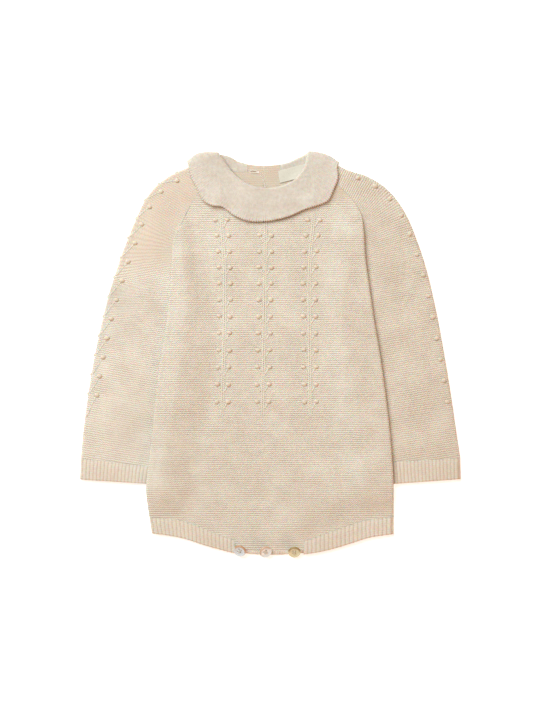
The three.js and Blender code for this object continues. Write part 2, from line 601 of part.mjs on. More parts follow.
function sleeve(side) {
  const sections = side < 0 ? LEFT_SLEEVE : RIGHT_SLEEVE;
  const cell = side < 0 ? { from: 4.1, to: 12.9, bobble: 8.9 } : { from: 1.2, to: 9.8, bobble: 5.2 };
  const stations = [
    nearFold(-45), nearFold(45), ...(side < 0 ? [{ near: EDGE, stem: true }] : []),
    { near: cell.from }, { near: cell.to }, { share: 0.28 }, { share: 0.46 }, { share: 0.64 },
    { share: 0.82 }, { far: EDGE }, farFold(45), farFold(-45),
    { far: EDGE, layer: -1 }, ...[0.82, 0.64, 0.46, 0.28].map((share) => ({ share, layer: -1 })),
    { near: EDGE, layer: -1 },
  ];
  const bossColumn = stations.findIndex((place) => place.near === cell.from);
  const point = (i, j, outer) => {
    const row = sections[i];
    const place = stations[j];
    const layer = place.layer ?? 1;
    const width = Math.hypot(row.ix - row.ox, row.iy - row.oy);
    const { along, fold } = station(place, width, outer);
    const fade = SLEEVE_FADE[i] ?? 0;
    const thicker = outer ? 0 : UNDERARM_WALL * fade * ease(0.6, 1, along / width);
    const share = (along - thicker) / width;
    let [x, y] = [lerp(row.ox, row.ix, share), lerp(row.oy, row.iy, share)];
    if (i === 0) ({ x, y } = raglanPlace(side, row, share));
    const ramp = layer > 0 && fold === null ? RAMP_WIDTH.front : RAMP_WIDTH.back;
    const base = collarLift(x, y) + fade * sleeveLift(x, y, ramp);
    if (fold !== null) return at3(x, y, base + EDGE + fold);
    if (layer < 0) return at3(x, y, base + (outer ? 0 : WALL));
    const puff = PUFF * ease(1, 3.5, i) * ease(0, 0.3, share) * (1 - ease(0.36, 0.66, share));
    const stem = place.stem && outer && i > 1 && i <= BOBBLED_SECTIONS + 1 ? STEM.height : 0;
    return at3(x, y, base + 2 * EDGE - (outer ? 0 : WALL) + puff + stem);
  };
  const boss = (i, j) => {
    if (i < 1 || i > BOBBLED_SECTIONS) return null;
    if (side < 0 && j === 0) return { u: 0.5, v: 0.35, across: 1.5, rise: 3 };
    if (j !== bossColumn) return null;
    const u = (cell.bobble - cell.from) / (cell.to - cell.from);
    return { u, v: 0.35, branch: side < 0 ? [[0.04, 0.72], [u - 0.24, 0.52]] : null };
  };
  return wall({
    rows: sections.length - 1,
    columns: stations.length,
    ring: true,
    handed: -side,
    outer: (i, j) => point(i, j, true),
    inner: (i, j) => point(i, j, false),
    boss,
  });
}

// A ribbed tube or strip between two section lines. Its lower layer stays plain.
function ribbed({ from, to, ribs, open, shape }) {
  const top = range(2 * ribs + 1).map((k) => ({ rib: k / (2 * ribs), raised: k % 2 === 1 }));
  const near = [nearFold(45), nearFold(0), nearFold(-45)];
  const low = [{ near: EDGE, layer: -1 }, { share: 0.25, layer: -1 }, { share: 0.5, layer: -1 },
    { share: 0.75, layer: -1 }, ...(open ? [{ share: 1, layer: -1 }] : [{ far: EDGE, layer: -1 }])];
  const stations = open
    ? [...[...top].reverse(), ...near, ...low]
    : [...[...top].reverse(), ...near, ...low, farFold(-45), farFold(45)];
  const ends = [from, to];
  const point = (i, j, outer) => {
    const row = ends[i];
    const place = stations[j];
    const width = Math.hypot(row.ix - row.ox, row.iy - row.oy);
    if (place.rib !== undefined) {
      const last = open ? width : width - EDGE;
      const along = lerp(EDGE, last, place.rib);
      const z = 2 * EDGE - (outer ? 0 : WALL) + (outer && place.raised ? RIB.height : 0);
      const p = shape(i, along / width, row, 1);
      return at3(p.x, p.y, z);
    }
    const { along, fold } = station(place, width, outer);
    const p = shape(i, along / width, row, place.layer < 0 ? -1 : 1);
    if (fold !== null) return at3(p.x, p.y, EDGE + fold);
    return at3(p.x, p.y, outer ? 0 : WALL);
  };
  return wall({
    rows: 1,
    columns: open ? stations.length - 1 : stations.length,
    ring: !open,
    outer: (i, j) => point(i, j, true),
    inner: (i, j) => point(i, j, false),
  });
}

function cuff(side) {
  const sections = side < 0 ? LEFT_SLEEVE : RIGHT_SLEEVE;
  const start = sections[sections.length - 1];
  const end = side < 0 ? CUFFS.left : CUFFS.right;
  const gap = SEAM / Math.hypot(end.ox - start.ox, end.oy - start.oy);
  const from = {
    ox: lerp(start.ox, end.ox, gap), oy: lerp(start.oy, end.oy, gap),
    ix: lerp(start.ix, end.ix, gap * SLANT.cuff), iy: lerp(start.iy, end.iy, gap * SLANT.cuff),
  };
  return ribbed({
    from,
    to: end,
    ribs: RIB.cuff,
    open: false,
    shape: (i, share, row) => ({ x: lerp(row.ox, row.ix, share), y: lerp(row.oy, row.iy, share) }),
  });
}

function legBand(side) {
  const inner = side < 0 ? CROTCH.left - 0.9 : CROTCH.right + 0.9;
  const hems = { 1: frontPlaces().at(-1), '-1': backPlaces().at(-1) };
  const rows = [hemY('sewn', side < 0 ? -117 : 127.8), side < 0 ? -179.6 : -180.2];
  const [from, to] = rows.map((y) => ({ ox: sideX(side, y), oy: y, ix: inner, iy: y }));
  return ribbed({
    from,
    to,
    ribs: RIB.leg,
    open: true,
    shape: (i, share, row, layer) => {
      const x = lerp(row.ox, row.ix, share);
      return { x, y: i === 0 ? straight(hems[layer], x) - SLANT.hem * SEAM : hemY('edge', x) };
    },
  });
}

// Collar: a ruffle turned outwards all round the neck, open between the tabs at the back. A row of
// these tables is a place round it: where its seam, its fold and its outer edge are.
const COLLAR_FRONT = [
  { sx: -49.4, sy: 197.8, fx: -46.4, fy: 198.7, ex: -76.7, ey: 188.2 },
  { sx: -47.3, sy: 191.5, fx: -42.4, fy: 194.2, ex: -74, ey: 177 },
  { sx: -45, sy: 185.2, fx: -38.3, fy: 188, ex: -68, ey: 165.8 },
  { sx: -41.5, sy: 176.4, fx: -34, fy: 182.5, ex: -63.2, ey: 155 },
  { sx: -36, sy: 171.6, fx: -29, fy: 177.5, ex: -54, ey: 149 },
  { sx: -27, sy: 167.1, fx: -22, fy: 172.3, ex: -42.4, ey: 147 },
  { sx: -18, sy: 164.4, fx: -15, fy: 168.8, ex: -31, ey: 138.8 },
  { sx: -9, sy: 162.9, fx: -8, fy: 166.9, ex: -17.5, ey: 133.6 },
  { sx: 0, sy: 162.4, fx: -0.5, fy: 166.1, ex: -4, ey: 133 },
  { sx: 9, sy: 162.8, fx: 7, fy: 166.5, ex: 10, ey: 134.8 },
  { sx: 18, sy: 164, fx: 15, fy: 168, ex: 24, ey: 138.8 },
  { sx: 27, sy: 166.4, fx: 22, fy: 170.6, ex: 38.7, ey: 145.2 },
  { sx: 35, sy: 169.8, fx: 28.5, fy: 174.4, ex: 52, ey: 149.2 },
  { sx: 41, sy: 174, fx: 33.3, fy: 179.4, ex: 61.6, ey: 154 },
  { sx: 45.4, sy: 180.4, fx: 37, fy: 185.4, ex: 66.5, ey: 164 },
  { sx: 46.6, sy: 189.2, fx: 39.6, fy: 192.4, ex: 70.8, ey: 175.5 },
  { sx: 43.9, sy: 198.7, fx: 41, fy: 200, ex: 70.2, ey: 186.9 },
];
const COLLAR_BACK_LEFT = [
  COLLAR_FRONT[0],
  { sx: -46.6, sy: 189.8, fx: -37, fy: 196.9, ex: -66, ey: 172 },
  { sx: -36, sy: 183.6, fx: -28, fy: 193.2, ex: -48, ey: 161 },
  { sx: -18.8, sy: 182.4, fx: -18.6, fy: 190.2, ex: -24, ey: 157 },
];
const COLLAR_BACK_RIGHT = [
  COLLAR_FRONT[16],
  { sx: 46.2, sy: 190, fx: 31.8, fy: 196.4, ex: 58, ey: 171 },
  { sx: 34, sy: 183.6, fx: 23.2, fy: 192.4, ex: 40, ey: 161 },
  { sx: 14.9, sy: 182.4, fx: 14.8, fy: 190, ex: 19, ey: 157 },
];
const FOLD_RADIUS = WALL + CLEAR / 2;
const COLLAR_MIDDLE = UNDER_COLLAR + EDGE;

const rowAt = (rows, at) => Object.fromEntries(['sx', 'sy', 'fx', 'fy', 'ex', 'ey']
  .map((column) => [column, read(numbered(rows), 'n', column, at)]));

// Places round the collar: the tilt goes from -90 under the back to 90 on the front.
function collarPlaces() {
  const back = [3, 2.25, 1.5, 0.75, 0];
  const turn = [-55, -20, 20, 55];
  const front = range(29).map((k) => (k * 16) / 28);
  return [
    ...back.map((at) => ({ ...rowAt(COLLAR_BACK_LEFT, at), tilt: -90 })),
    ...turn.map((tilt) => ({ ...COLLAR_FRONT[0], tilt })),
    ...front.map((at) => ({ ...rowAt(COLLAR_FRONT, at), tilt: 90 })),
    ...[...turn].reverse().map((tilt) => ({ ...COLLAR_FRONT[16], tilt })),
    ...[...back].reverse().map((at) => ({ ...rowAt(COLLAR_BACK_RIGHT, at), tilt: -90 })),
  ];
}

// The section of the collar from its seam over its fold to its edge: reach from the fold, and
// distance from the middle height. The edge rows are shares of the way to the outer edge.
function collarSection(outer) {
  const r = outer ? FOLD_RADIUS : FOLD_RADIUS - WALL;
  const centre = EDGE + CLEAR / 2;
  const turn = [-90, -45, 0, 45, 90].map((angle) => ({
    reach: FOLD_RADIUS - r * Math.cos(angle * D), away: centre + r * Math.sin(angle * D),
  }));
  const fall = [0.28, 0.48, 0.68, 0.86, 1].map((share) => ({ share, away: centre + r }));
  return [{ seam: true, away: centre - r }, ...turn, ...fall];
}

// Waves of the collar's outer edge, where it stands off the front.
const WAVES = [
  { x: -48, width: 7, rise: 1.5 }, { x: -22, width: 5, rise: 0.8 }, { x: 44, width: 8, rise: 0.6 },
];

function ruffle(x, share) {
  const rise = WAVES.reduce((sum, wave) => sum + wave.rise * Math.exp(-(((x - wave.x) / wave.width) ** 2)), 0);
  return rise * ease(0.4, 1, share);
}

function collar() {
  const places = collarPlaces();
  const sections = { true: collarSection(true), false: collarSection(false) };
  const point = (i, j, outer) => {
    const place = places[j];
    const part = sections[outer][i];
    const length = Math.hypot(place.ex - place.fx, place.ey - place.fy);
    const [dx, dy] = [(place.ex - place.fx) / length, (place.ey - place.fy) / length];
    const side = j < places.length / 2 ? -1 : 1;
    const [nx, ny] = [side * -dy, side * dx];
    const reach = part.share !== undefined ? lerp(FOLD_RADIUS, length, part.share) : part.reach;
    let [x, y] = part.seam ? [place.sx, place.sy] : [place.fx + dx * reach, place.fy + dy * reach];
    const out = Math.abs(place.tilt) < 90 ? part.away * Math.cos(place.tilt * D) : 0;
    x += out * nx;
    y += out * ny;
    let z = COLLAR_MIDDLE + part.away * Math.sin(place.tilt * D);
    if (place.tilt === 90 && part.share !== undefined) {
      const lie = frontBase(x, y) - (UNDER_COLLAR + WALL + SLACK);
      z += Math.max(0, lie) + SEAM * ease(0, 0.3, part.share) + ruffle(x, part.share);
    }
    return at3(x, y, z);
  };
  return wall({
    rows: sections.true.length - 1,
    columns: places.length - 1,
    outer: (i, j) => point(i, j, true),
    inner: (i, j) => point(i, j, false),
  });
}

// Buttons.
const BUTTON = {
  radius: 6.35, thick: 2.6, rim: 1.3, slope: 0.7, dish: 0.7, hole: 0.8, holesAt: 1.5,
  backEdge: { in: 1.2, up: 1 }, faceEdge: { in: 0.6, up: 0.7 }, sides: 18,
};
const CROTCH_BUTTONS = [
  { name: 'left', x: -26.2, y: -196.5, tilt: 30, turn: -25, lift: 0.4 },
  { name: 'middle', x: -0.5, y: -197.5, tilt: 31, turn: 33, lift: 0.5 },
  { name: 'right', x: 28.3, y: -197.8, tilt: 30, turn: 0, lift: -0.2 },
];

function buttonBody(radius, thick) {
  const scale = radius / BUTTON.radius;
  const { rim, slope, dish, backEdge, faceEdge } = BUTTON;
  const half = thick / 2;
  const profile = [
    [0, -half], [radius - backEdge.in, -half], [radius, backEdge.up - half], [radius, half - faceEdge.up],
    [radius - faceEdge.in, half], [radius - rim * scale, half],
    [radius - (rim + slope) * scale, half - dish], [0, half - dish],
  ].map(([r, z]) => new THREE.Vector2(r, z));
  const disc = new THREE.LatheGeometry(profile, BUTTON.sides).rotateX(Math.PI / 2);
  const holes = range(4).map((k) => {
    const angle = (k * 90 + 45) * D;
    const at = BUTTON.holesAt * scale;
    return new THREE.CylinderGeometry(BUTTON.hole, BUTTON.hole, 12, 6).rotateX(Math.PI / 2)
      .translate(at * Math.cos(angle), at * Math.sin(angle), 0);
  });
  return cut(disc, holes);
}

// Lays a button against the rolled edge of the crotch, tilted over it.
function crotchButton({ x, y, tilt, turn, lift }) {
  const [a, b] = [tilt * D, turn * D];
  const rest = EDGE + CLEAR + BUTTON.thick / 2;
  const centre = hemY('edge', x) + CROTCH.inset + EDGE;
  const touch = centre - rest * Math.sin(a);
  const up = (y - touch) / Math.cos(a);
  const z = EDGE + rest * Math.cos(a) + up * Math.sin(a);
  return buttonBody(BUTTON.radius, BUTTON.thick).rotateX(a).rotateZ(b).translate(x, y, z + lift);
}

// Label: a woven strip, lying on the inside of the back beside its neck.
const LABEL = {
  thick: 0.7,
  corners: { left: [12, 183], right: [41.2, 190.6], low: [14.2, 171] },
};

function label() {
  const [a, b, c] = [LABEL.corners.left, LABEL.corners.right, LABEL.corners.low];
  const at = (i, j, z) => at3(a[0] + (b[0] - a[0]) * j / 6 + (c[0] - a[0]) * i,
    a[1] + (b[1] - a[1]) * j / 6 + (c[1] - a[1]) * i, z);
  const rest = UNDER_COLLAR + WALL + SEAM;
  return wall({
    rows: 1,
    columns: 6,
    outer: (i, j) => at(i, j, rest + LABEL.thick),
    inner: (i, j) => at(i, j, rest),
  });
}

// The whole romper.
const COLOURS = { wool: 0xded0bb, pearl: 0xe9e4da, label: 0xe7decd };

function mesh(name, geometry, colour) {
  const material = new THREE.MeshStandardMaterial({ color: colour, roughness: 0.9, flatShading: true });
  const piece = new THREE.Mesh(geometry, material);
  piece.name = name;
  return piece;
}

const part = new THREE.Group();
part.name = 'baby_romper';
part.add(mesh('front_panel', frontPanel(), COLOURS.wool));
part.add(mesh('back_panel', backPanel(), COLOURS.wool));
part.add(mesh('sleeve_left', sleeve(-1), COLOURS.wool));
part.add(mesh('sleeve_right', sleeve(1), COLOURS.wool));
part.add(mesh('cuff_left', cuff(-1), COLOURS.wool));
part.add(mesh('cuff_right', cuff(1), COLOURS.wool));
part.add(mesh('leg_band_left', legBand(-1), COLOURS.wool));
part.add(mesh('leg_band_right', legBand(1), COLOURS.wool));
part.add(mesh('collar', collar(), COLOURS.wool));
part.add(mesh('label', label(), COLOURS.label));
for (const button of CROTCH_BUTTONS) {
  part.add(mesh(`crotch_button_${button.name}`, crotchButton(button), COLOURS.pearl));
}
part.add(mesh('back_button', buttonBody(BACK_BUTTON.radius, BACK_BUTTON.thick).rotateX(Math.PI)
  .translate(BACK_BUTTON.x, BACK_BUTTON.y, BACK_BUTTON.thick / 2), COLOURS.pearl));

export default part;
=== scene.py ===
"""Looks of a baby's hand-knit romper, laid out flat and face up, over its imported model."""

import logging
import math
from dataclasses import dataclass
from enum import Enum
from typing import Sequence

import bmesh
import bpy
import numpy as np
from mathutils import Matrix, Vector


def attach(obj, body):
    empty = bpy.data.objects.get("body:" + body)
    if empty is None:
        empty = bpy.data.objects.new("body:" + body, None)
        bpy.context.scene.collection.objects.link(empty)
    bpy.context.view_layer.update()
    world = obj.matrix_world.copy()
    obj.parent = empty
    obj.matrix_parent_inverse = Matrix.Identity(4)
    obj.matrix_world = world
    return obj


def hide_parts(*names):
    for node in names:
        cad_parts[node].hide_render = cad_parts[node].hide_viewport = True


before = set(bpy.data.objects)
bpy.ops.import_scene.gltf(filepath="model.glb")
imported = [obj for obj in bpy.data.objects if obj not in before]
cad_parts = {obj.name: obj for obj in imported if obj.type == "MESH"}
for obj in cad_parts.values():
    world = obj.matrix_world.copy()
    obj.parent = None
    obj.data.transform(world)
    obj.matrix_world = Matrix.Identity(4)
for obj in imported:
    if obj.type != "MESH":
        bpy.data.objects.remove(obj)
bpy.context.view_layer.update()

Array = np.ndarray
Tone = tuple[int, int, int]  # of a screen, from 0 to 255
Colour = tuple[float, float, float, float]
MM = 0.001  # shapes are worked out in millimetres, as the solids are
log = logging.getLogger("romper")


class Slot(Enum):
    """Material slots of the record."""

    WOOL = "wool"
    LABEL = "woven_label"
    PEARL = "pearl"


class Side(Enum):
    """Sides of the romper, as they are seen from the front."""

    LEFT = -1
    RIGHT = 1


def ease(start: float, end: float, x: Array) -> Array:
    """Goes from 0 at start to 1 at end, with level ends."""
    t = np.clip((np.asarray(x, float) - start) / (end - start), 0, 1)
    return t * t * (3 - 2 * t)


def mix(a: Array, b: Array, t: Array) -> Array:
    """Straight mix of a and b."""
    return a + (b - a) * t


@dataclass(frozen=True)
class Curve:
    """A smooth line through the rows of a table."""

    keys: tuple[float, ...]
    values: tuple[float, ...]

    def __call__(self, at: Array) -> Array:
        """Reads the curve.

        Args:
            at: keys to read it at, kept within the table.

        Returns:
            A value for each key.
        """
        keys, values = np.asarray(self.keys, float), np.asarray(self.values, float)
        at = np.asarray(at, float)
        if keys[-1] < keys[0]:
            keys, at = -keys, -at
        order = np.arange(len(keys))
        low, high = np.maximum(order - 1, 0), np.minimum(order + 1, len(keys) - 1)
        slopes = (values[high] - values[low]) / (keys[high] - keys[low])
        i = np.searchsorted(keys[1:-1], at, side="left")
        h = keys[i + 1] - keys[i]
        t = np.clip((at - keys[i]) / h, 0, 1)
        t2, t3 = t * t, t * t * t
        return (
            (2 * t3 - 3 * t2 + 1) * values[i]
            + (t3 - 2 * t2 + t) * h * slopes[i]
            + (3 * t2 - 2 * t3) * values[i + 1]
            + (t3 - t2) * h * slopes[i + 1]
        )


def curves(rows: Sequence[Sequence[float]]) -> list[Curve]:
    """Curves through the further columns of a table, keyed by its first column."""
    columns = list(zip(*rows))
    return [Curve(tuple(columns[0]), tuple(column)) for column in columns[1:]]


@dataclass(frozen=True)
class Cloth:
    """Thickness of the knit and the room between its layers, in millimetres."""

    wall: float = 2.2
    seam: float = 0.3
    clear: float = 0.5
    slack: float = 1.4
    pillow: float = 1.8
    puff: float = 1.6
    rib: float = 0.8

    @property
    def edge(self) -> float:
        """Outer radius where a tube folds flat."""
        return (2 * self.wall + self.slack) / 2

    @property
    def under_sleeve(self) -> float:
        """Height of the body where it lies on a sleeve."""
        return 2 * self.edge + self.clear

    @property
    def under_collar(self) -> float:
        """Height of the back where the collar is turned under it."""
        return self.wall + self.clear


CLOTH = Cloth()
EDGE = CLOTH.edge

# Places on the plan: the neckline and its depths, the bobble columns, the crotch and the back's tabs.
NECK_X, NECK_Y, NECK_HALF, NECK_FRONT, NECK_BACK = 1.0, 184.0, 46.0, 22.0, 2.4
BUTTON_X, BUTTON_Y = 6.5, 180.0
PATTERN_TOP, PATTERN_PITCH, PATTERN_ROWS = 139.5, 16.65, 12
PATTERN_END = PATTERN_TOP - PATTERN_PITCH * PATTERN_ROWS
LOW_END, HEM_START = -163.0, 8.0  # the lowest rows, and how far above the sewn line they start
CROTCH_LEFT, CROTCH_RIGHT, CROTCH_INSET = -31.0, 38.0, 1.0
TAB_LEFT, TAB_RIGHT, TAB_TOP, TAB_DISH = -18.2, 14.2, 188.3, 0.0055
SLIT_X, SLIT_WIDTH, SLIT_END, SLIT_TOP = -2.1, 0.2, 132.0, 192.5
UNDERARM = {Side.LEFT: 112.0, Side.RIGHT: 134.0}

# Outline of the body: heights, and the place across at each of them.
LEFT_SIDE = Curve(
    (184, 169, 154, 139.5, 123, 112, 92, 67, 23, -18, -61, -114, -136, -154, -180),
    (
        -45, -60.5, -72.5, -81, -89, -93, -94.2, -96.2, -100.5, -107.5, -112, -117.5, -119.8, -118.2,
        -114.5,
    ),
)
RIGHT_SIDE = Curve(
    (184, 169, 154, 139.5, 123, 112, 92, 67, 34, 6, -25, -71, -114, -146, -180),
    (47, 71.5, 86.5, 94.6, 97.9, 98.4, 100, 103.5, 108.2, 113, 117.5, 123.2, 126.6, 127.6, 128),
)
SIDE = {Side.LEFT: LEFT_SIDE, Side.RIGHT: RIGHT_SIDE}

# Lower end of the body at x: the line where the bands are sewn on, and the bands' own edge.
SEWN, LOWER_EDGE = curves((
    (-120, -163, -179), (-101, -164.5, -181.2), (-82, -167, -184.8), (-62, -174.5, -191.3),
    (-48, -180.4, -195.2), (-30, -186, -199.6), (-1, -187, -202.2), (37, -186.5, -200.6),
    (61, -179, -196.6), (84, -171, -190), (103, -165.8, -184), (129, -162.5, -180),
))

# Where the body stops lying on a sleeve, at each side, and how wide the slope is.
RAMP_LEFT, RAMP_RIGHT = curves((
    (160, -88, 90), (112, -86, 91), (92, -85, 88), (64, -79, 81), (30, -73, 79), (0, -74.5, 82),
    (-40, -81, 89), (-80, -89, 96), (-131, -97, 103), (-160, -101, 108),
))
RAMP_BACK, RAMP_FRONT = 22.0, 29.0

# Bobble columns of the front: centre lines at four heights, and half the distance within a pair.
COLUMN_STOPS = (134.0, 87.0, 38.0, PATTERN_END)
COLUMNS = ((-44.6, -41.6, -41.3, -43.9), (-0.5, -0.8, -1.5, -3.6), (47.3, 43.6, 43.3, 44.2))
PAIR_HALF, PAIR_HALF_TOP = (5.3, 6.0, 6.1), 6.1
PAIR_TOP, PAIR_STEP, PAIR_GROWTH = 134.0, 15.45, 0.098

# Soft troughs and ridges of the front: two ends, width and rise.
CREASES = (
    (-88, -122, -98, -150, 7, -0.5), (-78, -146, -52, -168, 7, -0.7), (-60, -118, -84, -136, 10, 0.7),
    (50, -150, 58, -176, 6, -0.7), (72, -112, 96, -140, 10, 0.5), (20, 40, 18, -40, 12, 0.5),
    (66, 20, 74, -70, 10, -0.6), (84, -150, 90, -164, 6, -0.4),
)

# Sleeve sections from the neck to the cuff: outer fold x, y and underarm fold x, y.
LEFT_SLEEVE = (
    (-50.6, 200, -93.9, 111), (-78.5, 186.6, -94.5, 105), (-96, 178.5, -95, 100), (-111.5, 167, -95, 95.5),
    (-122.5, 152, -93, 88.5), (-130.5, 135, -88.5, 76), (-138, 117, -84, 67.5), (-145, 99, -79.5, 55),
    (-151, 81, -77, 40), (-156.8, 63, -75.8, 25), (-161.6, 44.5, -76.2, 12), (-166, 26, -77.8, -2),
    (-170, 7.5, -80.2, -16), (-173.6, -11, -83, -32), (-176.6, -29.5, -85.8, -49),
    (-179.6, -49, -89, -66), (-183, -76, -93.5, -90), (-185.6, -104.5, -97.5, -114.5),
)
RIGHT_SLEEVE = (
    (45.3, 200.9, 98, 132.5), (81, 184.4, 99, 126), (101, 178, 99.7, 121), (118.5, 167.5, 100, 116.5),
    (132, 153, 98.6, 108), (142.5, 135.5, 94.5, 96), (150.5, 116, 90, 84), (157.5, 96, 86, 70),
    (163.3, 75.5, 84, 54), (168, 55, 83.6, 37), (172.4, 34, 85, 19.5), (176.3, 13, 87, 1),
    (180, -8, 89.8, -18), (183.5, -29, 93, -37), (186.7, -50, 96.4, -57), (189.3, -68, 99.5, -75),
    (192, -86, 102.6, -92), (194.6, -104, 105.6, -109),
)
CUFF_END = {Side.LEFT: (-186.6, -125.6, -100, -131), Side.RIGHT: (195.2, -125.2, 107.5, -131.5)}
SEAM_SHARES = (0.15, 0.28, 0.46, 0.64, 0.82, 1.0)  # where points of the raglan seam lie on the first section
SLEEVE_FADE = ((0, 1, 2, 3), (1, 0.55, 0.2, 0))  # the body's own rise fades over the first sections

# Collar: seam x, y, fold x, y and outer edge x, y at places round the neck.
COLLAR_FRONT = (
    (-49.4, 197.8, -46.4, 198.7, -76.7, 188.2), (-47.3, 191.5, -42.4, 194.2, -74, 177),
    (-45, 185.2, -38.3, 188, -68, 165.8), (-41.5, 176.4, -34, 182.5, -63.2, 155),
    (-36, 171.6, -29, 177.5, -54, 149), (-27, 167.1, -22, 172.3, -42.4, 147),
    (-18, 164.4, -15, 168.8, -31, 138.8), (-9, 162.9, -8, 166.9, -17.5, 133.6),
    (0, 162.4, -0.5, 166.1, -4, 133), (9, 162.8, 7, 166.5, 10, 134.8), (18, 164, 15, 168, 24, 138.8),
    (27, 166.4, 22, 170.6, 38.7, 145.2), (35, 169.8, 28.5, 174.4, 52, 149.2),
    (41, 174, 33.3, 179.4, 61.6, 154), (45.4, 180.4, 37, 185.4, 66.5, 164),
    (46.6, 189.2, 39.6, 192.4, 70.8, 175.5), (43.9, 198.7, 41, 200, 70.2, 186.9),
)
COLLAR_BACK = {
    Side.LEFT: (
        COLLAR_FRONT[0], (-46.6, 189.8, -37, 197.9, -66, 172), (-36, 183.6, -28, 193.2, -48, 161),
        (-18.1, 182.4, -18.05, 190.2, -24, 157),
    ),
    Side.RIGHT: (
        COLLAR_FRONT[16], (46.2, 190, 31.8, 196.4, 58, 171), (34, 183.6, 23.2, 192.4, 40, 161),
        (14.1, 182.4, 14.05, 190, 19, 157),
    ),
}
RIB_PITCH = 3.6
FOLD_STEPS = np.radians(np.linspace(-90, 90, 9))  # angles round a fold, from its underside up
FOLD_RADIUS = CLOTH.wall + CLOTH.clear / 2
COLLAR_MIDDLE = CLOTH.under_collar + EDGE
WAVES = ((-48, 7, 1.5), (-22, 5, 0.8), (44, 8, 0.6))  # of the ruffle: place across, width and rise

# Soft valley beside the raised left edge of the front: height and place across.
VALLEY = Curve((150, 109, 41, 2, -51, -86, -131, -155), (-80, -76, -72.5, -77, -84, -91, -96, -99))
VALLEY_DEPTH = 3.0
VALLEY_SIDES = (-10, 6, 8, 40)  # where its left side starts and ends, then its right one
VALLEY_ENDS = (150, 120, -160, -130)
EDGE_DROP, EDGE_SLOPE = 1.1, 12.0
EDGE_ENDS = (112, 96, -160, -135)

# Oval that the collar under the back lifts: half width, half length, middle, and its slope as shares.
OVAL_WIDE, OVAL_LONG, OVAL_Y, OVAL_SLOPE = 80, 38, 194, (1.12, 1.52)
BUTTON_SLOPE = (9, 22)
ARM_SLOPE = (40, 16, 0.55)  # rise above and below the underarm, and the share that comes above it
CUFF_ENDS = (-92, -108, -130, -166)  # where the body starts and stops lying on a cuff's ribs
CROTCH_BLEND = (18, 8)  # how far outside and inside its ends the crotch's edge takes over
ROOM_SLOPE = (2, 32)  # where the room between front and back starts and is full, from the edge in


def neck_y(x: Array, depth: float) -> Array:
    """Height of the neckline at x, as deep as depth in its middle."""
    t = (np.asarray(x, float) - NECK_X) / NECK_HALF
    return NECK_Y - depth * np.sqrt(np.clip(1 - t * t, 0, None))


def collar_lift(x: Array, y: Array) -> Array:
    """Height that the collar under the back, and the back button, give to what lies on them.

    Args:
        x: places across.
        y: places along.

    Returns:
        The rise at each place.
    """
    collar = 1 - ease(*OVAL_SLOPE, np.hypot(x / OVAL_WIDE, (y - OVAL_Y) / OVAL_LONG))
    button = 1 - ease(*BUTTON_SLOPE, np.hypot(x - BUTTON_X, y - BUTTON_Y))
    return CLOTH.under_collar * np.maximum(collar, button)


def sleeve_lift(x: Array, y: Array, width: float) -> Array:
    """Height that the sleeves give to the body that lies on them.

    Args:
        x: places across.
        y: places along.
        width: how wide the slope beside a sleeve is.

    Returns:
        The rise at each place.
    """
    total = np.zeros(np.broadcast(x, y).shape)
    above, below, share = ARM_SLOPE
    top = CLOTH.under_sleeve + (CLOTH.rib + CLOTH.seam) * ease(*CUFF_ENDS[:2], y)
    for side, ramp in ((Side.LEFT, RAMP_LEFT), (Side.RIGHT, RAMP_RIGHT)):
        underarm = UNDERARM[side]
        rise = share * ease(underarm + above, underarm, y)
        rise = rise + (1 - share) * ease(underarm, underarm - below, y)
        across = 1 - ease(0, width, (ramp(y) - x) * side.value)
        total = total + top * rise * (1 - ease(*CUFF_ENDS[2:], y)) * across
    return total


def crease(x: Array, y: Array) -> Array:
    """Rise of the soft creases of the front.

    Args:
        x: places across.
        y: places along.

    Returns:
        The rise at each place.
    """
    total = np.zeros(np.broadcast(x, y).shape)
    for x0, y0, x1, y1, width, rise in CREASES:
        dx, dy = x1 - x0, y1 - y0
        t = np.clip(((x - x0) * dx + (y - y0) * dy) / (dx * dx + dy * dy), 0, 1)
        away = np.hypot(x - x0 - t * dx, y - y0 - t * dy)
        total = total + rise * np.exp(-((away / width) ** 2))
    return total


def valley(x: Array, y: Array) -> Array:
    """Depth of the soft valley that runs down beside the left edge of the front.

    Args:
        x: places across.
        y: places along.

    Returns:
        The depth at each place.
    """
    start, floor, rise, end = (VALLEY(y) + side for side in VALLEY_SIDES)
    across = ease(start, floor, x) * (1 - ease(rise, end, x))
    return VALLEY_DEPTH * across * ease(*VALLEY_ENDS[:2], y) * ease(*VALLEY_ENDS[2:], y)


def edge_drop(x: Array, y: Array) -> Array:
    """How much lower the front lies towards its left edge."""
    across = 1 - ease(0, EDGE_SLOPE, x - LEFT_SIDE(y))
    return EDGE_DROP * across * ease(*EDGE_ENDS[:2], y) * ease(*EDGE_ENDS[2:], y)


def back_base(x: Array, y: Array) -> Array:
    """Underside of the back."""
    return collar_lift(x, y) + sleeve_lift(x, y, RAMP_BACK)


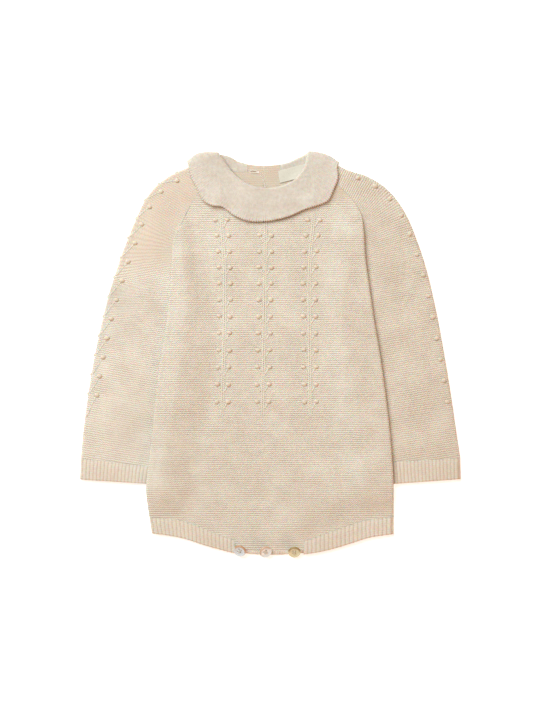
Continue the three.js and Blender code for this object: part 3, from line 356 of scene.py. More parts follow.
def front_base(x: Array, y: Array) -> Array:
    """Underside of the front, before its edges roll.

    Args:
        x: places across.
        y: places along.

    Returns:
        The height at each place.
    """
    outside, inside = CROTCH_BLEND
    crotch = ease(CROTCH_LEFT - outside, CROTCH_LEFT + inside, x)
    crotch = crotch * (1 - ease(CROTCH_RIGHT - inside, CROTCH_RIGHT + outside, x))
    low = mix(SEWN(x), LOWER_EDGE(x), crotch)
    ends = np.minimum(y - low, neck_y(x, NECK_FRONT) - y)
    from_edge = np.minimum(np.minimum(x - LEFT_SIDE(y), RIGHT_SIDE(y) - x), ends)
    filled = ease(*ROOM_SLOPE, from_edge) * (CLOTH.pillow + crease(x, y))
    lift = collar_lift(x, y) + sleeve_lift(x, y, RAMP_FRONT)
    return lift + CLOTH.wall + CLOTH.slack + filled - edge_drop(x, y) - valley(x, y)


def front_top(x: Array, y: Array) -> Array:
    """Upper surface of the front."""
    return front_base(x, y) + CLOTH.wall


def column_x(column: Sequence[float], y: Array) -> Array:
    """Centre line of a bobble column."""
    return Curve(COLUMN_STOPS, tuple(column))(y)


def pair_y(row: int) -> float:
    """Height of a row of bobble pairs; the rows lie a little further apart lower down."""
    return PAIR_TOP - PAIR_STEP * row - PAIR_GROWTH * row * row


# Meshes.

RIM = 0.3  # how far the cloth's rims stand out between its two sides
PLY_MEAN, PLY_SPREAD = 0.6, 1.5  # of a yarn: middle of its grooves, and millimetres of pattern per radian


def skin(name: str, points: Array, uv: Array) -> bpy.types.Object:
    """Makes a smooth mesh from a grid of points; rows or columns that meet are joined.

    Args:
        name: name of the piece.
        points: rows by columns by three, in millimetres.
        uv: rows by columns by two, in millimetres along the cloth.

    Returns:
        The new object, at the origin.
    """
    rows, columns = points.shape[:2]
    bm = bmesh.new()
    bmesh.ops.create_grid(bm, x_segments=columns - 1, y_segments=rows - 1, size=1.0)
    layer = bm.loops.layers.uv.new("cloth")
    for vert, place in zip(bm.verts, (points.reshape(-1, 3) * MM).tolist()):
        vert.co = place
    places = (uv.reshape(-1, 2) * MM).tolist()
    for face in bm.faces:
        face.smooth = True
        for loop in face.loops:
            loop[layer].uv = places[loop.vert.index]
    return finished(name, bm)


def placed(name: str, bm: bmesh.types.BMesh) -> bpy.types.Object:
    """Puts a mesh in the scene as an object at the origin.

    Args:
        name: its name.
        bm: the mesh, which is freed.

    Returns:
        The new object.
    """
    mesh = bpy.data.meshes.new(name)
    bm.to_mesh(mesh)
    bm.free()
    piece = bpy.data.objects.new(name, mesh)
    bpy.context.scene.collection.objects.link(piece)
    return piece


def finished(name: str, bm: bmesh.types.BMesh) -> bpy.types.Object:
    """Joins a mesh's doubles, turns it outwards and puts it in the scene.

    Args:
        name: its name.
        bm: the mesh, which is freed.

    Returns:
        The new object.
    """
    bmesh.ops.remove_doubles(bm, verts=bm.verts, dist=1e-6)
    bmesh.ops.dissolve_degenerate(bm, edges=bm.edges, dist=1e-7)
    bmesh.ops.recalc_face_normals(bm, faces=bm.faces)
    return placed(name, bm)


def sheet_grid(outer: Array, inner: Array, uv: Array, rim: float = 0.12) -> tuple[Array, Array]:
    """Wraps two layers of an open sheet into one closed skin with soft rims.

    Args:
        outer: points of the outer layer.
        inner: points of the inner layer.
        uv: places on the cloth.
        rim: how far the rim stands out between the layers.

    Returns:
        Points and places of the closed skin.
    """
    middle = (outer + inner) / 2

    def out(edge: Array, inward: Array) -> Array:
        """The middle of a rim, a little outside the edge."""
        away = edge - inward
        return edge + away / np.maximum(np.linalg.norm(away, axis=-1, keepdims=True), 1e-9) * rim

    top, bottom = out(middle[0], middle[1]), out(middle[-1], middle[-2])
    left, right = out(middle[:, 0], middle[:, 1]), out(middle[:, -1], middle[:, -2])

    def wrap(a: Array, b: Array, west: Array, east: Array) -> Array:
        """Rows that go over one layer, round the rim and back under the other."""
        return np.concatenate([west[:, None], a, east[:, None], b[:, ::-1], west[:, None]], axis=1)

    body = wrap(outer, inner, left, right)
    cap = [wrap(edge[None], edge[None], edge[None, 0], edge[None, -1]) for edge in (top, bottom)]
    flat = wrap(uv, uv, uv[:, 0], uv[:, -1])
    return np.concatenate([cap[0], body, cap[1]]), np.concatenate([flat[:1], flat, flat[-1:]])


def tube_grid(outer: Array, inner: Array, uv: Array, rim: float = 0.12) -> tuple[Array, Array]:
    """Joins the two walls of a tube at its ends. Its last column is its first one again.

    Args:
        outer: points of the outer wall.
        inner: points of the inner wall.
        uv: places on the cloth.
        rim: how far the rims stand out between the walls.

    Returns:
        Points and places of the closed skin.
    """
    ends = []
    for edge, inward in ((0, 1), (-1, -2)):
        middle = (outer[edge] + inner[edge]) / 2
        away = middle - (outer[inward] + inner[inward]) / 2
        ends.append(middle + away / np.linalg.norm(away, axis=-1, keepdims=True) * rim)
    points = np.concatenate([ends[0][None], outer, ends[1][None], inner[::-1], ends[0][None]])
    return points, np.concatenate([uv[:1], uv, uv[-1:], uv[::-1], uv[:1]])


def tube(name: str, line: Array, radius: Array, sides: int, flat: float = 1.0, twist: float = 0.0,
         depth: float = 0.0) -> bpy.types.Object:
    """Yarn along a line, with closed ends and two plies that turn round each other.

    Args:
        name: name of the piece.
        line: points of its middle, in millimetres.
        radius: radius at each point.
        sides: faces round it.
        flat: height of the section as a share of its width.
        twist: turns of the plies per millimetre.
        depth: how deep the grooves between plies are, as a share of the radius.

    Returns:
        The new object.
    """
    along = np.gradient(line, axis=0)
    along /= np.linalg.norm(along, axis=1, keepdims=True)
    aside = np.cross(along, (0, 0, 1.0))
    aside /= np.maximum(np.linalg.norm(aside, axis=1, keepdims=True), 1e-9)
    up = np.cross(aside, along)
    length = np.concatenate([[0], np.cumsum(np.linalg.norm(np.diff(line, axis=0), axis=1))])
    angle = np.linspace(0, 2 * np.pi, sides + 1)
    ply = np.abs(np.cos(angle[None] - 2 * np.pi * twist * length[:, None]))
    r = np.broadcast_to(radius, length.shape)[:, None] * (1 + depth * (ply - PLY_MEAN))
    wide = aside[:, None] * (r * np.cos(angle))[..., None]
    high = up[:, None] * (r * flat * np.sin(angle))[..., None]
    points = line[:, None] + wide + high
    ends = [np.broadcast_to(line[k], points[:1].shape) for k in (0, -1)]
    points = np.concatenate([ends[0], points, ends[1]])
    places = np.stack(np.broadcast_arrays(angle[None] * PLY_SPREAD, length[:, None]), axis=-1)
    return skin(name, points, np.concatenate([places[:1], places, places[-1:]]))


def joined(name: str, parts: Sequence[bpy.types.Object]) -> bpy.types.Object:
    """Joins pieces of one kind into one object.

    Args:
        name: name of the new piece.
        parts: the pieces, which are removed.

    Returns:
        The new object.
    """
    bm = bmesh.new()
    for part in parts:
        bm.from_mesh(part.data)
        old = part.data
        bpy.data.objects.remove(part)
        bpy.data.meshes.remove(old)
    return placed(name, bm)


# Materials.


class Graph:
    """Short way to add nodes to a tree."""

    def __init__(self, tree: bpy.types.NodeTree) -> None:
        """Starts on an empty tree."""
        self.tree = tree
        tree.nodes.clear()

    def add(self, kind: str, inputs: dict | None = None, **settings: object) -> bpy.types.Node:
        """Adds a node.

        Args:
            kind: type name of the node.
            inputs: values or sockets by input name or number.
            settings: properties of the node.

        Returns:
            The node.
        """
        node = self.tree.nodes.new(kind)
        for key, value in settings.items():
            setattr(node, key, value)
        for key, value in (inputs or {}).items():
            self.plug(node.inputs[key], value)
        return node

    def plug(self, socket: bpy.types.NodeSocket, value: object) -> None:
        """Links a socket, or sets its value.

        Args:
            socket: an input.
            value: a socket to link, or a value.
        """
        if isinstance(value, bpy.types.NodeSocket):
            self.tree.links.new(value, socket)
        else:
            socket.default_value = value

    def math(self, operation: str, *values: object) -> bpy.types.NodeSocket:
        """A Math node's result.

        Args:
            operation: name of the operation.
            values: its inputs.

        Returns:
            The result.
        """
        node = self.add("ShaderNodeMath", operation=operation)
        for k, value in enumerate(values):
            self.plug(node.inputs[k], value)
        return node.outputs[0]

    def scaled(self, value: object, factor: object, offset: object = 0.0) -> bpy.types.NodeSocket:
        """A value times a factor, with an offset added."""
        return self.math("ADD", self.math("MULTIPLY", value, factor), offset)

    def noise(
        self, vector: object, scale: float, detail: float = 2.0, rough: float = 0.5
    ) -> bpy.types.NodeSocket:
        """Soft noise from 0 to 1 at a scale per metre."""
        inputs = {"Vector": vector, "Scale": scale, "Detail": detail, "Roughness": rough}
        return self.add("ShaderNodeTexNoise", inputs).outputs["Fac"]

    def remap(self, value: object, old: Sequence[float], new: Sequence[float],
              how: str = "SMOOTHSTEP") -> bpy.types.NodeSocket:
        """A value taken from its old range to a new one.

        Args:
            value: the value.
            old: its range.
            new: the range that it is taken to.
            how: kind of interpolation.

        Returns:
            The new value.
        """
        ends = {"From Min": old[0], "From Max": old[1], "To Min": new[0], "To Max": new[1]}
        node = self.add("ShaderNodeMapRange", {"Value": value, **ends}, interpolation_type=how)
        return node.outputs["Result"]

    def blend(self, factor: object, a: object, b: object, how: str = "MIX") -> bpy.types.NodeSocket:
        """Mixes two colours.

        Args:
            factor: share of the second colour.
            a: the first colour.
            b: the second colour.
            how: how they are mixed.

        Returns:
            The mixed colour.
        """
        node = self.add("ShaderNodeMix", data_type="RGBA", blend_type=how)
        for name, value in (("Factor_Float", factor), ("A_Color", a), ("B_Color", b)):
            self.plug(next(s for s in node.inputs if s.identifier == name), value)
        return next(s for s in node.outputs if s.identifier == "Result_Color")


def colour(red: int, green: int, blue: int) -> Colour:
    """Linear colour from the 0 to 255 values of a screen."""
    shares = (value / 255 for value in (red, green, blue))
    return *(v / 12.92 if v <= 0.04045 else ((v + 0.055) / 1.055) ** 2.4 for v in shares), 1.0


def surface(graph: Graph, kind: str = "ShaderNodeBsdfPrincipled", output: str = "ShaderNodeOutputMaterial",
            **inputs: object) -> None:
    """Ends a tree with a shader.

    Args:
        graph: the tree.
        kind: type name of the shader.
        output: type name of the tree's output node.
        inputs: the shader's values and sockets, with _ for a space in their names.
    """
    shader = graph.add(kind, {key.replace("_", " "): value for key, value in inputs.items()})
    graph.add(output, {"Surface": shader.outputs[0]})


def new_material(name: str) -> tuple[bpy.types.Material, Graph]:
    """An empty material and its tree.

    Args:
        name: its name.

    Returns:
        The material, and its tree.
    """
    made = bpy.data.materials.new(name)
    made.use_nodes = True
    return made, Graph(made.node_tree)


def new_group(name: str, inputs: Sequence[tuple[str, str]], outputs: Sequence[tuple[str, str]]) -> Graph:
    """An empty node group with named sockets.

    Args:
        name: its name.
        inputs: label and socket type of each input.
        outputs: label and socket type of each output.

    Returns:
        The group's tree.
    """
    tree = bpy.data.node_groups.new(name, "ShaderNodeTree")
    graph = Graph(tree)
    for direction, sockets in (("INPUT", inputs), ("OUTPUT", outputs)):
        for label, kind in sockets:
            tree.interface.new_socket(name=label, in_out=direction, socket_type=kind)
    return graph


def knit_group() -> bpy.types.NodeTree:
    """Rows of small rounded loops, as garter stitch has them, with uneven yarn.

    Returns:
        A group with the height of the stitches, how deep in a groove a place is, and how near it is to
        the line between two wales.
    """
    number = "NodeSocketFloat"
    graph = new_group(
        "knit stitches",
        [("Places", "NodeSocketVector"), ("Course", number), ("Wale", number)],
        [("Height", number), ("Groove", number), ("Column", number)],
    )
    given = graph.add("NodeGroupInput")
    flat = given.outputs["Places"]
    wobble = graph.add("ShaderNodeTexNoise", {"Vector": flat, "Scale": 160.0, "Detail": 1.0}).outputs["Color"]
    shifted = graph.add("ShaderNodeVectorMath", {0: wobble, 1: (0.5, 0.5, 0.5)}, operation="SUBTRACT")
    pushed = graph.add("ShaderNodeVectorMath", {0: shifted.outputs[0], "Scale": 1.1 * MM}, operation="SCALE")
    moved = graph.add("ShaderNodeVectorMath", {0: flat, 1: pushed.outputs[0]}, operation="ADD")
    split = graph.add("ShaderNodeSeparateXYZ", {0: moved.outputs[0]})
    wales = graph.math("DIVIDE", split.outputs["X"], given.outputs["Wale"])
    turn = graph.math("MULTIPLY", wales, 2 * math.pi)
    sway = graph.math("MULTIPLY", graph.math("SINE", turn), 0.13)
    row = graph.math("ADD", graph.math("DIVIDE", split.outputs["Y"], given.outputs["Course"]), sway)
    order = graph.math("FLOOR", row)
    ridge = graph.math("SINE", graph.math("MULTIPLY", graph.math("SUBTRACT", row, order), math.pi))
    stagger = graph.math("MULTIPLY", order, math.pi)
    loop = graph.scaled(graph.math("COSINE", graph.math("ADD", turn, stagger)), 0.5, 0.5)
    even = graph.math("MULTIPLY", graph.math("POWER", ridge, 0.8), graph.scaled(loop, 0.3, 0.7))
    yarn = graph.noise(flat, 1100.0, 3.0, 0.65)
    uneven = graph.remap(graph.noise(flat, 42.0, 2.0, 0.6), (0.36, 0.64), (0.82, 1.12), "LINEAR")
    height = graph.math("MULTIPLY", even, uneven)
    graph.add("NodeGroupOutput", {
        "Height": graph.math("ADD", height, graph.math("MULTIPLY", graph.math("SUBTRACT", yarn, 0.5), 0.7)),
        "Groove": graph.math("MAXIMUM", graph.math("SUBTRACT", uneven, height), 0.0),
        "Column": graph.scaled(graph.math("COSINE", turn), 0.5, 0.5),
    })
    return graph.tree


def heather_group() -> bpy.types.NodeTree:
    """Colour of spun wool: soft patches, flecks of lighter and darker fibre.

    Returns:
        A group that gives a share from dark to light.
    """
    graph = new_group("heathered wool", [("Places", "NodeSocketVector")], [("Share", "NodeSocketFloat")])
    places = graph.add("NodeGroupInput").outputs["Places"]
    patches = graph.noise(places, 22.0, 3.0, 0.55)
    yarn = graph.noise(places, 330.0, 2.0, 0.6)
    flecks = graph.noise(places, 1500.0, 2.0, 0.7)
    both = graph.scaled(patches, 0.4, graph.math("MULTIPLY", yarn, 0.35))
    share = graph.math("ADD", both, graph.math("MULTIPLY", flecks, 0.25))
    spread = graph.scaled(graph.math("SUBTRACT", share, 0.5), 2.6, 0.5)
    graph.add("NodeGroupOutput", {"Share": graph.math("MINIMUM", graph.math("MAXIMUM", spread, 0.0), 1.0)})
    return graph.tree


@dataclass(frozen=True)
class WoolFinish:
    """Undyed, heathered wool, knitted at a given gauge, with painted shade in the grooves between its loops.
    """

    name: str
    light: Tone = (237, 230, 218)
    dark: Tone = (217, 206, 190)
    # tone of the painted shade in the grooves between the loops
    groove: Tone = (188, 152, 122)
    course: float = 2.13 * MM
    wale: float = 2.4 * MM
    depth: float = 0.62 * MM
    # how strongly the painted shade darkens the grooves
    shade: float = 0.6
    calm: float = 1.0  # share of the relief that is left towards the neck
    calm_span: tuple[float, float] = (148 * MM, 166 * MM)  # heights between which it fades to that
    calm_shade: float = 0.6  # how much of the grooves' painted shade lies evenly over the calm cloth
    rib: float = 0.0  # how dark the painted shade in the lines between the ribs is
    glow_through: float = 0.4  # share of the light that goes on inside the wool
    glow_depth: float = 2.2 * MM

    def material(self, groups: dict[str, bpy.types.NodeTree]) -> bpy.types.Material:
        """Builds the material.

        Args:
            groups: the shared node groups by name.

        Returns:
            The material, which reads the piece's own cloth places.
        """
        made, graph = new_material(self.name)
        places = graph.add("ShaderNodeUVMap", uv_map="cloth").outputs[0]
        solid = graph.add("ShaderNodeTexCoord").outputs["Object"]
        gauge = {"Places": places, "Course": self.course, "Wale": self.wale}
        knit = graph.add("ShaderNodeGroup", gauge, node_tree=groups["knit"])
        heather = graph.add("ShaderNodeGroup", {"Places": solid}, node_tree=groups["heather"])
        base = graph.blend(heather.outputs["Share"], colour(*self.dark), colour(*self.light))
        # Share of the painted groove shade at each place, deeper in the grooves.
        deep = graph.math("MULTIPLY", graph.math("POWER", knit.outputs["Groove"], 1.6), self.shade)
        height = knit.outputs["Height"]
        # Painted shade along the lines between the ribs.
        if self.rib > 0:
            line = graph.math("MULTIPLY", graph.math("POWER", knit.outputs["Column"], 5.0), self.rib)
            deep = graph.math("ADD", deep, line)
        # Where the relief is calmed, its painted groove shade is spread evenly and the base is drawn towards
        # the dark tone: painted shade in place of the relief's own.
        if self.calm < 1:
            along = graph.add("ShaderNodeSeparateXYZ", {0: solid}).outputs["Y"]
            fade = graph.remap(along, self.calm_span, (1.0, self.calm))
            calmed = graph.math("SUBTRACT", 1.0, fade)
            deep = graph.scaled(deep, fade, graph.math("MULTIPLY", calmed, self.shade * self.calm_shade))
            base = graph.blend(graph.math("DIVIDE", calmed, 1 - self.calm), base, colour(*self.dark))
            height = graph.math("MULTIPLY", height, fade)
        bump = graph.add("ShaderNodeBump", {"Height": height, "Strength": 1.0, "Distance": self.depth})
        surface(
            graph, Base_Color=graph.blend(deep, base, colour(*self.groove)), Normal=bump.outputs[0],
            Roughness=0.92, Specular_IOR_Level=0.2, Subsurface_Weight=self.glow_through,
            Subsurface_Radius=(1.0, 0.35, 0.15), Subsurface_Scale=self.glow_depth,
            Sheen_Weight=0.05, Sheen_Roughness=0.5, Sheen_Tint=colour(250, 240, 226),
        )
        return made


@dataclass(frozen=True)
class TapeFinish:
    """Woven satin tape with fine cross threads."""

    name: str
    light: Tone = (222, 217, 203)
    dark: Tone = (203, 194, 177)
    pitch: float = 0.42 * MM

    def material(self) -> bpy.types.Material:
        """Builds the material.

        Returns:
            The material.
        """
        made, graph = new_material(self.name)
        places = graph.add("ShaderNodeUVMap", uv_map="cloth").outputs[0]
        split = graph.add("ShaderNodeSeparateXYZ", {0: places})
        waves = [
            graph.math("SINE", graph.math("MULTIPLY", split.outputs[axis], 2 * math.pi / self.pitch))
            for axis in ("X", "Y")
        ]
        weave = graph.scaled(graph.math("MULTIPLY", *waves), 0.5, 0.5)
        patches = graph.noise(places, 260.0, 2.0)
        share = graph.scaled(weave, 0.5, graph.math("MULTIPLY", patches, 0.5))
        bump = graph.add("ShaderNodeBump", {"Height": weave, "Strength": 0.6, "Distance": 0.12 * MM})
        surface(
            graph, Base_Color=graph.blend(share, colour(*self.dark), colour(*self.light)),
            Normal=bump.outputs[0], Roughness=0.6,
        )
        return made


@dataclass(frozen=True)
class PearlFinish:
    """Polished shell with soft bands of colour, and a painted shadow along the rim of the face's upper half.
    """

    name: str
    pale: Tone = (236, 236, 232)
    deep: Tone = (186, 186, 182)
    tint: Tone = (222, 214, 190)
    # tone of the painted shadow along the rim
    rim: Tone = (196, 186, 170)
    shadow: float = 0.0  # how strongly the painted shadow, in the rim's tone, shows on the upper half of the face
    shadow_ring: tuple[float, float] = (3.9 * MM, 5.6 * MM)  # where that tone starts and is full, from the middle

    def material(self) -> bpy.types.Material:
        """Builds the material.

        Returns:
            The material.
        """
        made, graph = new_material(self.name)
        solid = graph.add("ShaderNodeTexCoord").outputs["Object"]
        cloud = graph.noise(solid, 240.0, 3.0, 0.6)
        bands = graph.noise(solid, 700.0, 2.0, 0.5)
        base = graph.blend(cloud, colour(*self.deep), colour(*self.pale))
        tinted = graph.blend(graph.math("MULTIPLY", bands, 0.5), base, colour(*self.tint))
        disc = graph.add("ShaderNodeUVMap", uv_map="cloth").outputs[0]
        away = graph.add("ShaderNodeVectorMath", {0: disc}, operation="LENGTH").outputs["Value"]
        # Painted shadow: the rim tone over the outer ring of the face's upper half.
        shadow_ring = graph.remap(away, self.shadow_ring, (0.0, self.shadow))
        up = graph.add("ShaderNodeSeparateXYZ", {0: disc}).outputs["Y"]
        above = graph.remap(up, (-1.0 * MM, 3.0 * MM), (0.0, 1.0))
        surface(
            graph, Base_Color=graph.blend(graph.math("MULTIPLY", shadow_ring, above), tinted, colour(*self.rim)),
            Roughness=graph.scaled(cloud, 0.15, 0.16), Coat_Weight=0.6, Coat_Roughness=0.08,
        )
        return made


@dataclass
class Wardrobe:
    """All finishes of the romper."""

    body: bpy.types.Material
    sleeves: dict[Side, bpy.types.Material]
    collar: bpy.types.Material
    rib: bpy.types.Material
    stitch: bpy.types.Material
    yarn: bpy.types.Material
    thread: bpy.types.Material
    tape: bpy.types.Material
    pearls: list[bpy.types.Material]

    @classmethod
    def make(cls) -> "Wardrobe":
        """Builds the shared groups once and every finish from them.

        Returns:
            All finishes.
        """
        groups = {"knit": knit_group(), "heather": heather_group()}

        def wool(name: str, light: Tone, dark: Tone, course: float = 2.13, wale: float = 2.4,
                 depth: float = 0.62, **more: object) -> bpy.types.Material:
            """A wool with its tones and, in millimetres, its gauge and relief."""
            gauge = {"course": course * MM, "wale": wale * MM, "depth": depth * MM}
            return WoolFinish(f"wool_{name}", light, dark, **gauge, **more).material(groups)

        def pearl(name: str, *tones: Tone, shadow: float = 0.0) -> bpy.types.Material:
            """A shell finish with its pale, deep and tint tones, and the rim tone of its painted shadow."""
            return PearlFinish(f"pearl_{name}", *tones, shadow=shadow).material()

        fine = {"course": 1.3, "wale": 1.6, "depth": 0.16, "glow_depth": 0.6 * MM}
        upper_arm = (66 * MM, 104 * MM)
        return cls(
            body=wool("body", (237, 230, 218), (217, 206, 190), calm=0.35),
            sleeves={
                # The left sleeve's wool is a lighter copy of the right one's: painted light for the light
                # that falls from the upper left.
                Side.LEFT: wool("sleeve_left", (241, 234, 222), (224, 212, 197), shade=0.58, calm=0.55,
                                calm_span=upper_arm),
                Side.RIGHT: wool("sleeve_right", (236, 228, 215), (216, 204, 187)),
            },
            collar=wool("collar", (227, 219, 209), (191, 178, 163), 1.9, 1.7, 0.18, shade=0.16),
            rib=wool("rib", (230, 222, 210), (211, 199, 183), 2.0, RIB_PITCH, 0.22, shade=0.2, rib=0.45),
            stitch=wool("stitch", (237, 227, 212), (220, 207, 190), shade=0.15, **fine),
            # The bobbles' yarn is warmer than the body's wool to match the cloth, and darker as painted shade
            # over their lamp-lit tops; the buttons' thread takes it too.
            yarn=wool("yarn", (230, 217, 200), (211, 195, 175), shade=0.2, **fine),
            thread=wool(
                "thread", (246, 238, 226), (232, 222, 208), 0.9, 0.9, 0.1, shade=0.1, glow_through=0.0
            ),
            tape=TapeFinish("label_tape").material(),
            # Each pearl's fourth tone and its shadow strength make the painted shadow on the upper rim of its
            # face.
            pearls=[
                pearl("blue", (236, 242, 247), (196, 207, 219), (220, 212, 200), (190, 134, 84), shadow=0.9),
                pearl(
                    "white", (240, 244, 246), (214, 219, 221), (226, 224, 216), (198, 150, 112), shadow=0.8
                ),
                pearl("olive", (236, 230, 202), (211, 200, 160), (218, 203, 160), (150, 120, 62), shadow=0.9),
                pearl("back"),
            ],
        )


def dress(piece: bpy.types.Object, finish: bpy.types.Material, slot: Slot, *nodes: str) -> bpy.types.Object:
    """Gives a piece its finish and its place in the model.

    Args:
        piece: the new object.
        finish: its material.
        slot: not used.
        nodes: the solids that it stands for.

    Returns:
        The piece.
    """
    piece.data.materials.clear()
    piece.data.materials.append(finish)
    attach(piece, "root")
    if nodes:
        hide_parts(*nodes)
    log.info("%s: %d faces", piece.name, len(piece.data.polygons))
    return piece


# Pieces.


@dataclass
class BodyPanel:
    """Front or back of the body, from the neck to the crotch."""

    name: str
    node: str
    front: bool
    columns: int
    top_rows: int
    middle_rows: int
    low_rows: int
    roll_steps: int = 5
    hem_rows: int = 12
    tab_rows: int = 6
    tab_step: float = 0.1  # distance between the rows just under the neckline
    turn_under: float = 12.0  # length below the underarm over which the edge starts to roll
    flat: tuple[float, float] = (0.255, 0.385)
    area: float = 0.0763

    def shares(self) -> Array:
        """Shares of the width at which the columns stand; some are set by the panel's corners.

        Returns:
            The shares in order, from the left edge.
        """
        near = 0.1  # the panel's corners lie between columns this far to each side of them
        crotch = (CROTCH_LEFT - 0.5, CROTCH_LEFT + near, CROTCH_RIGHT - near, CROTCH_RIGHT + 0.5)
        tabs = (TAB_LEFT - near, TAB_LEFT + near, TAB_RIGHT - near, TAB_RIGHT + near)
        fixed = []
        for level, stops in ((LOW_END, crotch), (NECK_Y, () if self.front else tabs)):
            left, right = float(LEFT_SIDE(level)) + EDGE, float(RIGHT_SIDE(level)) - EDGE
            fixed += [(stop - left) / (right - left) for stop in stops]
        even = [
            s for s in np.linspace(0, 1, self.columns) if min(abs(s - f) for f in fixed) > 0.4 / self.columns
        ]
        return np.sort(np.array(even + fixed))

    def places(self) -> dict[str, Array]:
        """Plan of the panel: x, y, roll angle, side and hem roll angle of each point.

        Returns:
            Arrays by name; an angle is nan where the cloth doesn't roll.
        """
        theta = np.linspace(0, 90, self.roll_steps + 1)[:-1]
        inset = EDGE * (1 - np.cos(np.radians(theta)))
        roll, last = len(inset), self.roll_steps + 1
        # Rows: s from the neck to the pattern's top, middle, t down to the hem, u and more on the hem.
        s = np.concatenate([np.zeros(self.tab_rows), np.linspace(0, 1, self.top_rows, endpoint=False)])
        middle = np.linspace(PATTERN_TOP, PATTERN_END, self.middle_rows, endpoint=False)
        t = np.linspace(0, 1, self.low_rows, endpoint=False)
        u = np.linspace(0, 1, self.hem_rows)
        above = np.concatenate([mix(HEM_START, 1.2, u), np.linspace(1.0, -CLOTH.seam * 0.4, last)])
        level = np.concatenate([
            mix(NECK_Y, PATTERN_TOP, s), middle, mix(PATTERN_END, LOW_END + HEM_START, t), LOW_END + above,
        ])
        left, right = LEFT_SIDE(level)[:, None], RIGHT_SIDE(level)[:, None]
        flat = mix(left + EDGE, right - EDGE, self.shares()[None])
        x = np.concatenate([left + inset, flat, right - inset[::-1]], axis=1)
        y = np.broadcast_to(level[:, None], x.shape).copy()
        # Top rows follow the neckline, and the first few are drawn out to the tabs.
        n, m = len(s), len(s) + self.middle_rows
        share = ((x - left) / (right - left))[:n]
        neck_x = mix(float(LEFT_SIDE(NECK_Y)), float(RIGHT_SIDE(NECK_Y)), share)
        start = neck_y(neck_x, NECK_FRONT if self.front else NECK_BACK) - self.tab_rows * self.tab_step
        y[:n] = mix(start, PATTERN_TOP, s[:, None])
        rise = np.linspace(1, 0, self.tab_rows, endpoint=False)[:, None]
        y[: self.tab_rows] += rise * (self.neckline(neck_x) - start)[: self.tab_rows]
        # Low rows follow the sewn line, or the crotch's own edge.
        low_x = x[m:]
        crotch = np.broadcast_to((low_x[-1] > CROTCH_LEFT) & (low_x[-1] < CROTCH_RIGHT), low_x.shape)
        start = SEWN(low_x) + HEM_START
        crotch_end = LOWER_EDGE(low_x) + CROTCH_INSET + EDGE + 0.5
        down = np.concatenate([t, u, np.ones(last)])[:, None]
        hem = slice(self.low_rows, None)
        y[m:][: self.low_rows] = mix(PATTERN_END, start, down)[: self.low_rows]
        banded = start[hem] - HEM_START + above[:, None]
        y[m:][hem] = np.where(crotch[hem], mix(start, crotch_end, down)[hem], banded)
        angle, hem_roll, side = np.full(x.shape, np.nan), np.full(x.shape, np.nan), np.zeros(x.shape)
        angle[:, :roll], angle[:, -roll:] = theta, theta[::-1]
        side[:, :roll], side[:, -roll:] = -1, 1
        turned = np.concatenate([np.full(self.low_rows + self.hem_rows, np.nan), np.linspace(90, 0, last)])
        hem_roll[m:] = np.where(crotch, turned[:, None], np.nan)
        return {"x": x, "y": y, "angle": angle, "side": side, "hem": hem_roll}

    def neckline(self, x: Array) -> Array:
        """Height of the panel's top edge at x.

        Args:
            x: places across.

        Returns:
            The height at each place.
        """
        if self.front:
            return neck_y(x, NECK_FRONT)
        tab = (x > TAB_LEFT) & (x < TAB_RIGHT)
        return np.where(tab, TAB_TOP + TAB_DISH * (x - SLIT_X) ** 2, neck_y(x, NECK_BACK))

    def layer(self, places: dict[str, Array], outer: bool) -> Array:
        """Points of one side of the cloth.

        Args:
            places: the plan.
            outer: whether it is the side that shows on the outside.

        Returns:
            Points in millimetres.
        """
        x, y, side = places["x"], places["y"], places["side"]
        base = back_base(x, y)
        if self.front:
            up, away = 1, front_base(x, y) + (CLOTH.wall if outer else 0)
            drop = edge_drop(x, y)
        else:
            up, away, drop = -1, base + (0 if outer else CLOTH.wall), 0
        r = EDGE if outer else EDGE - CLOTH.wall
        rolled = ~np.isnan(places["angle"])
        theta = np.radians(np.where(rolled, places["angle"], 90))
        underarm = np.where(side < 0, UNDERARM[Side.LEFT], UNDERARM[Side.RIGHT])
        below = ease(0, self.turn_under, underarm - y)
        turned = base + EDGE + up * r * np.sin(theta) - drop * np.sin(theta)
        z = np.where(rolled, mix(away, turned, below), away)
        shift = (EDGE - r * np.cos(theta)) - EDGE * (1 - np.cos(theta))
        x = np.where(rolled, x - side * below * shift, x)
        hemmed = ~np.isnan(places["hem"]) & ~rolled
        theta = np.radians(np.where(hemmed, places["hem"], 90))
        z = np.where(hemmed, base + EDGE + up * r * np.sin(theta), z)
        y = np.where(hemmed, LOWER_EDGE(x) + CROTCH_INSET + EDGE - r * np.cos(theta), y)
        return np.stack([x, y, z], axis=-1)

    def build(self, wardrobe: Wardrobe) -> bpy.types.Object:
        """Builds and dresses the panel.

        Args:
            wardrobe: the finishes.

        Returns:
            The panel.
        """
        places = self.places()
        outer, inner = self.layer(places, True), self.layer(places, False)
        uv = np.stack([places["x"], places["y"]], axis=-1)
        piece = skin(self.name, *sheet_grid(outer, inner, uv, RIM))
        return dress(piece, wardrobe.body, Slot.WOOL, self.node)


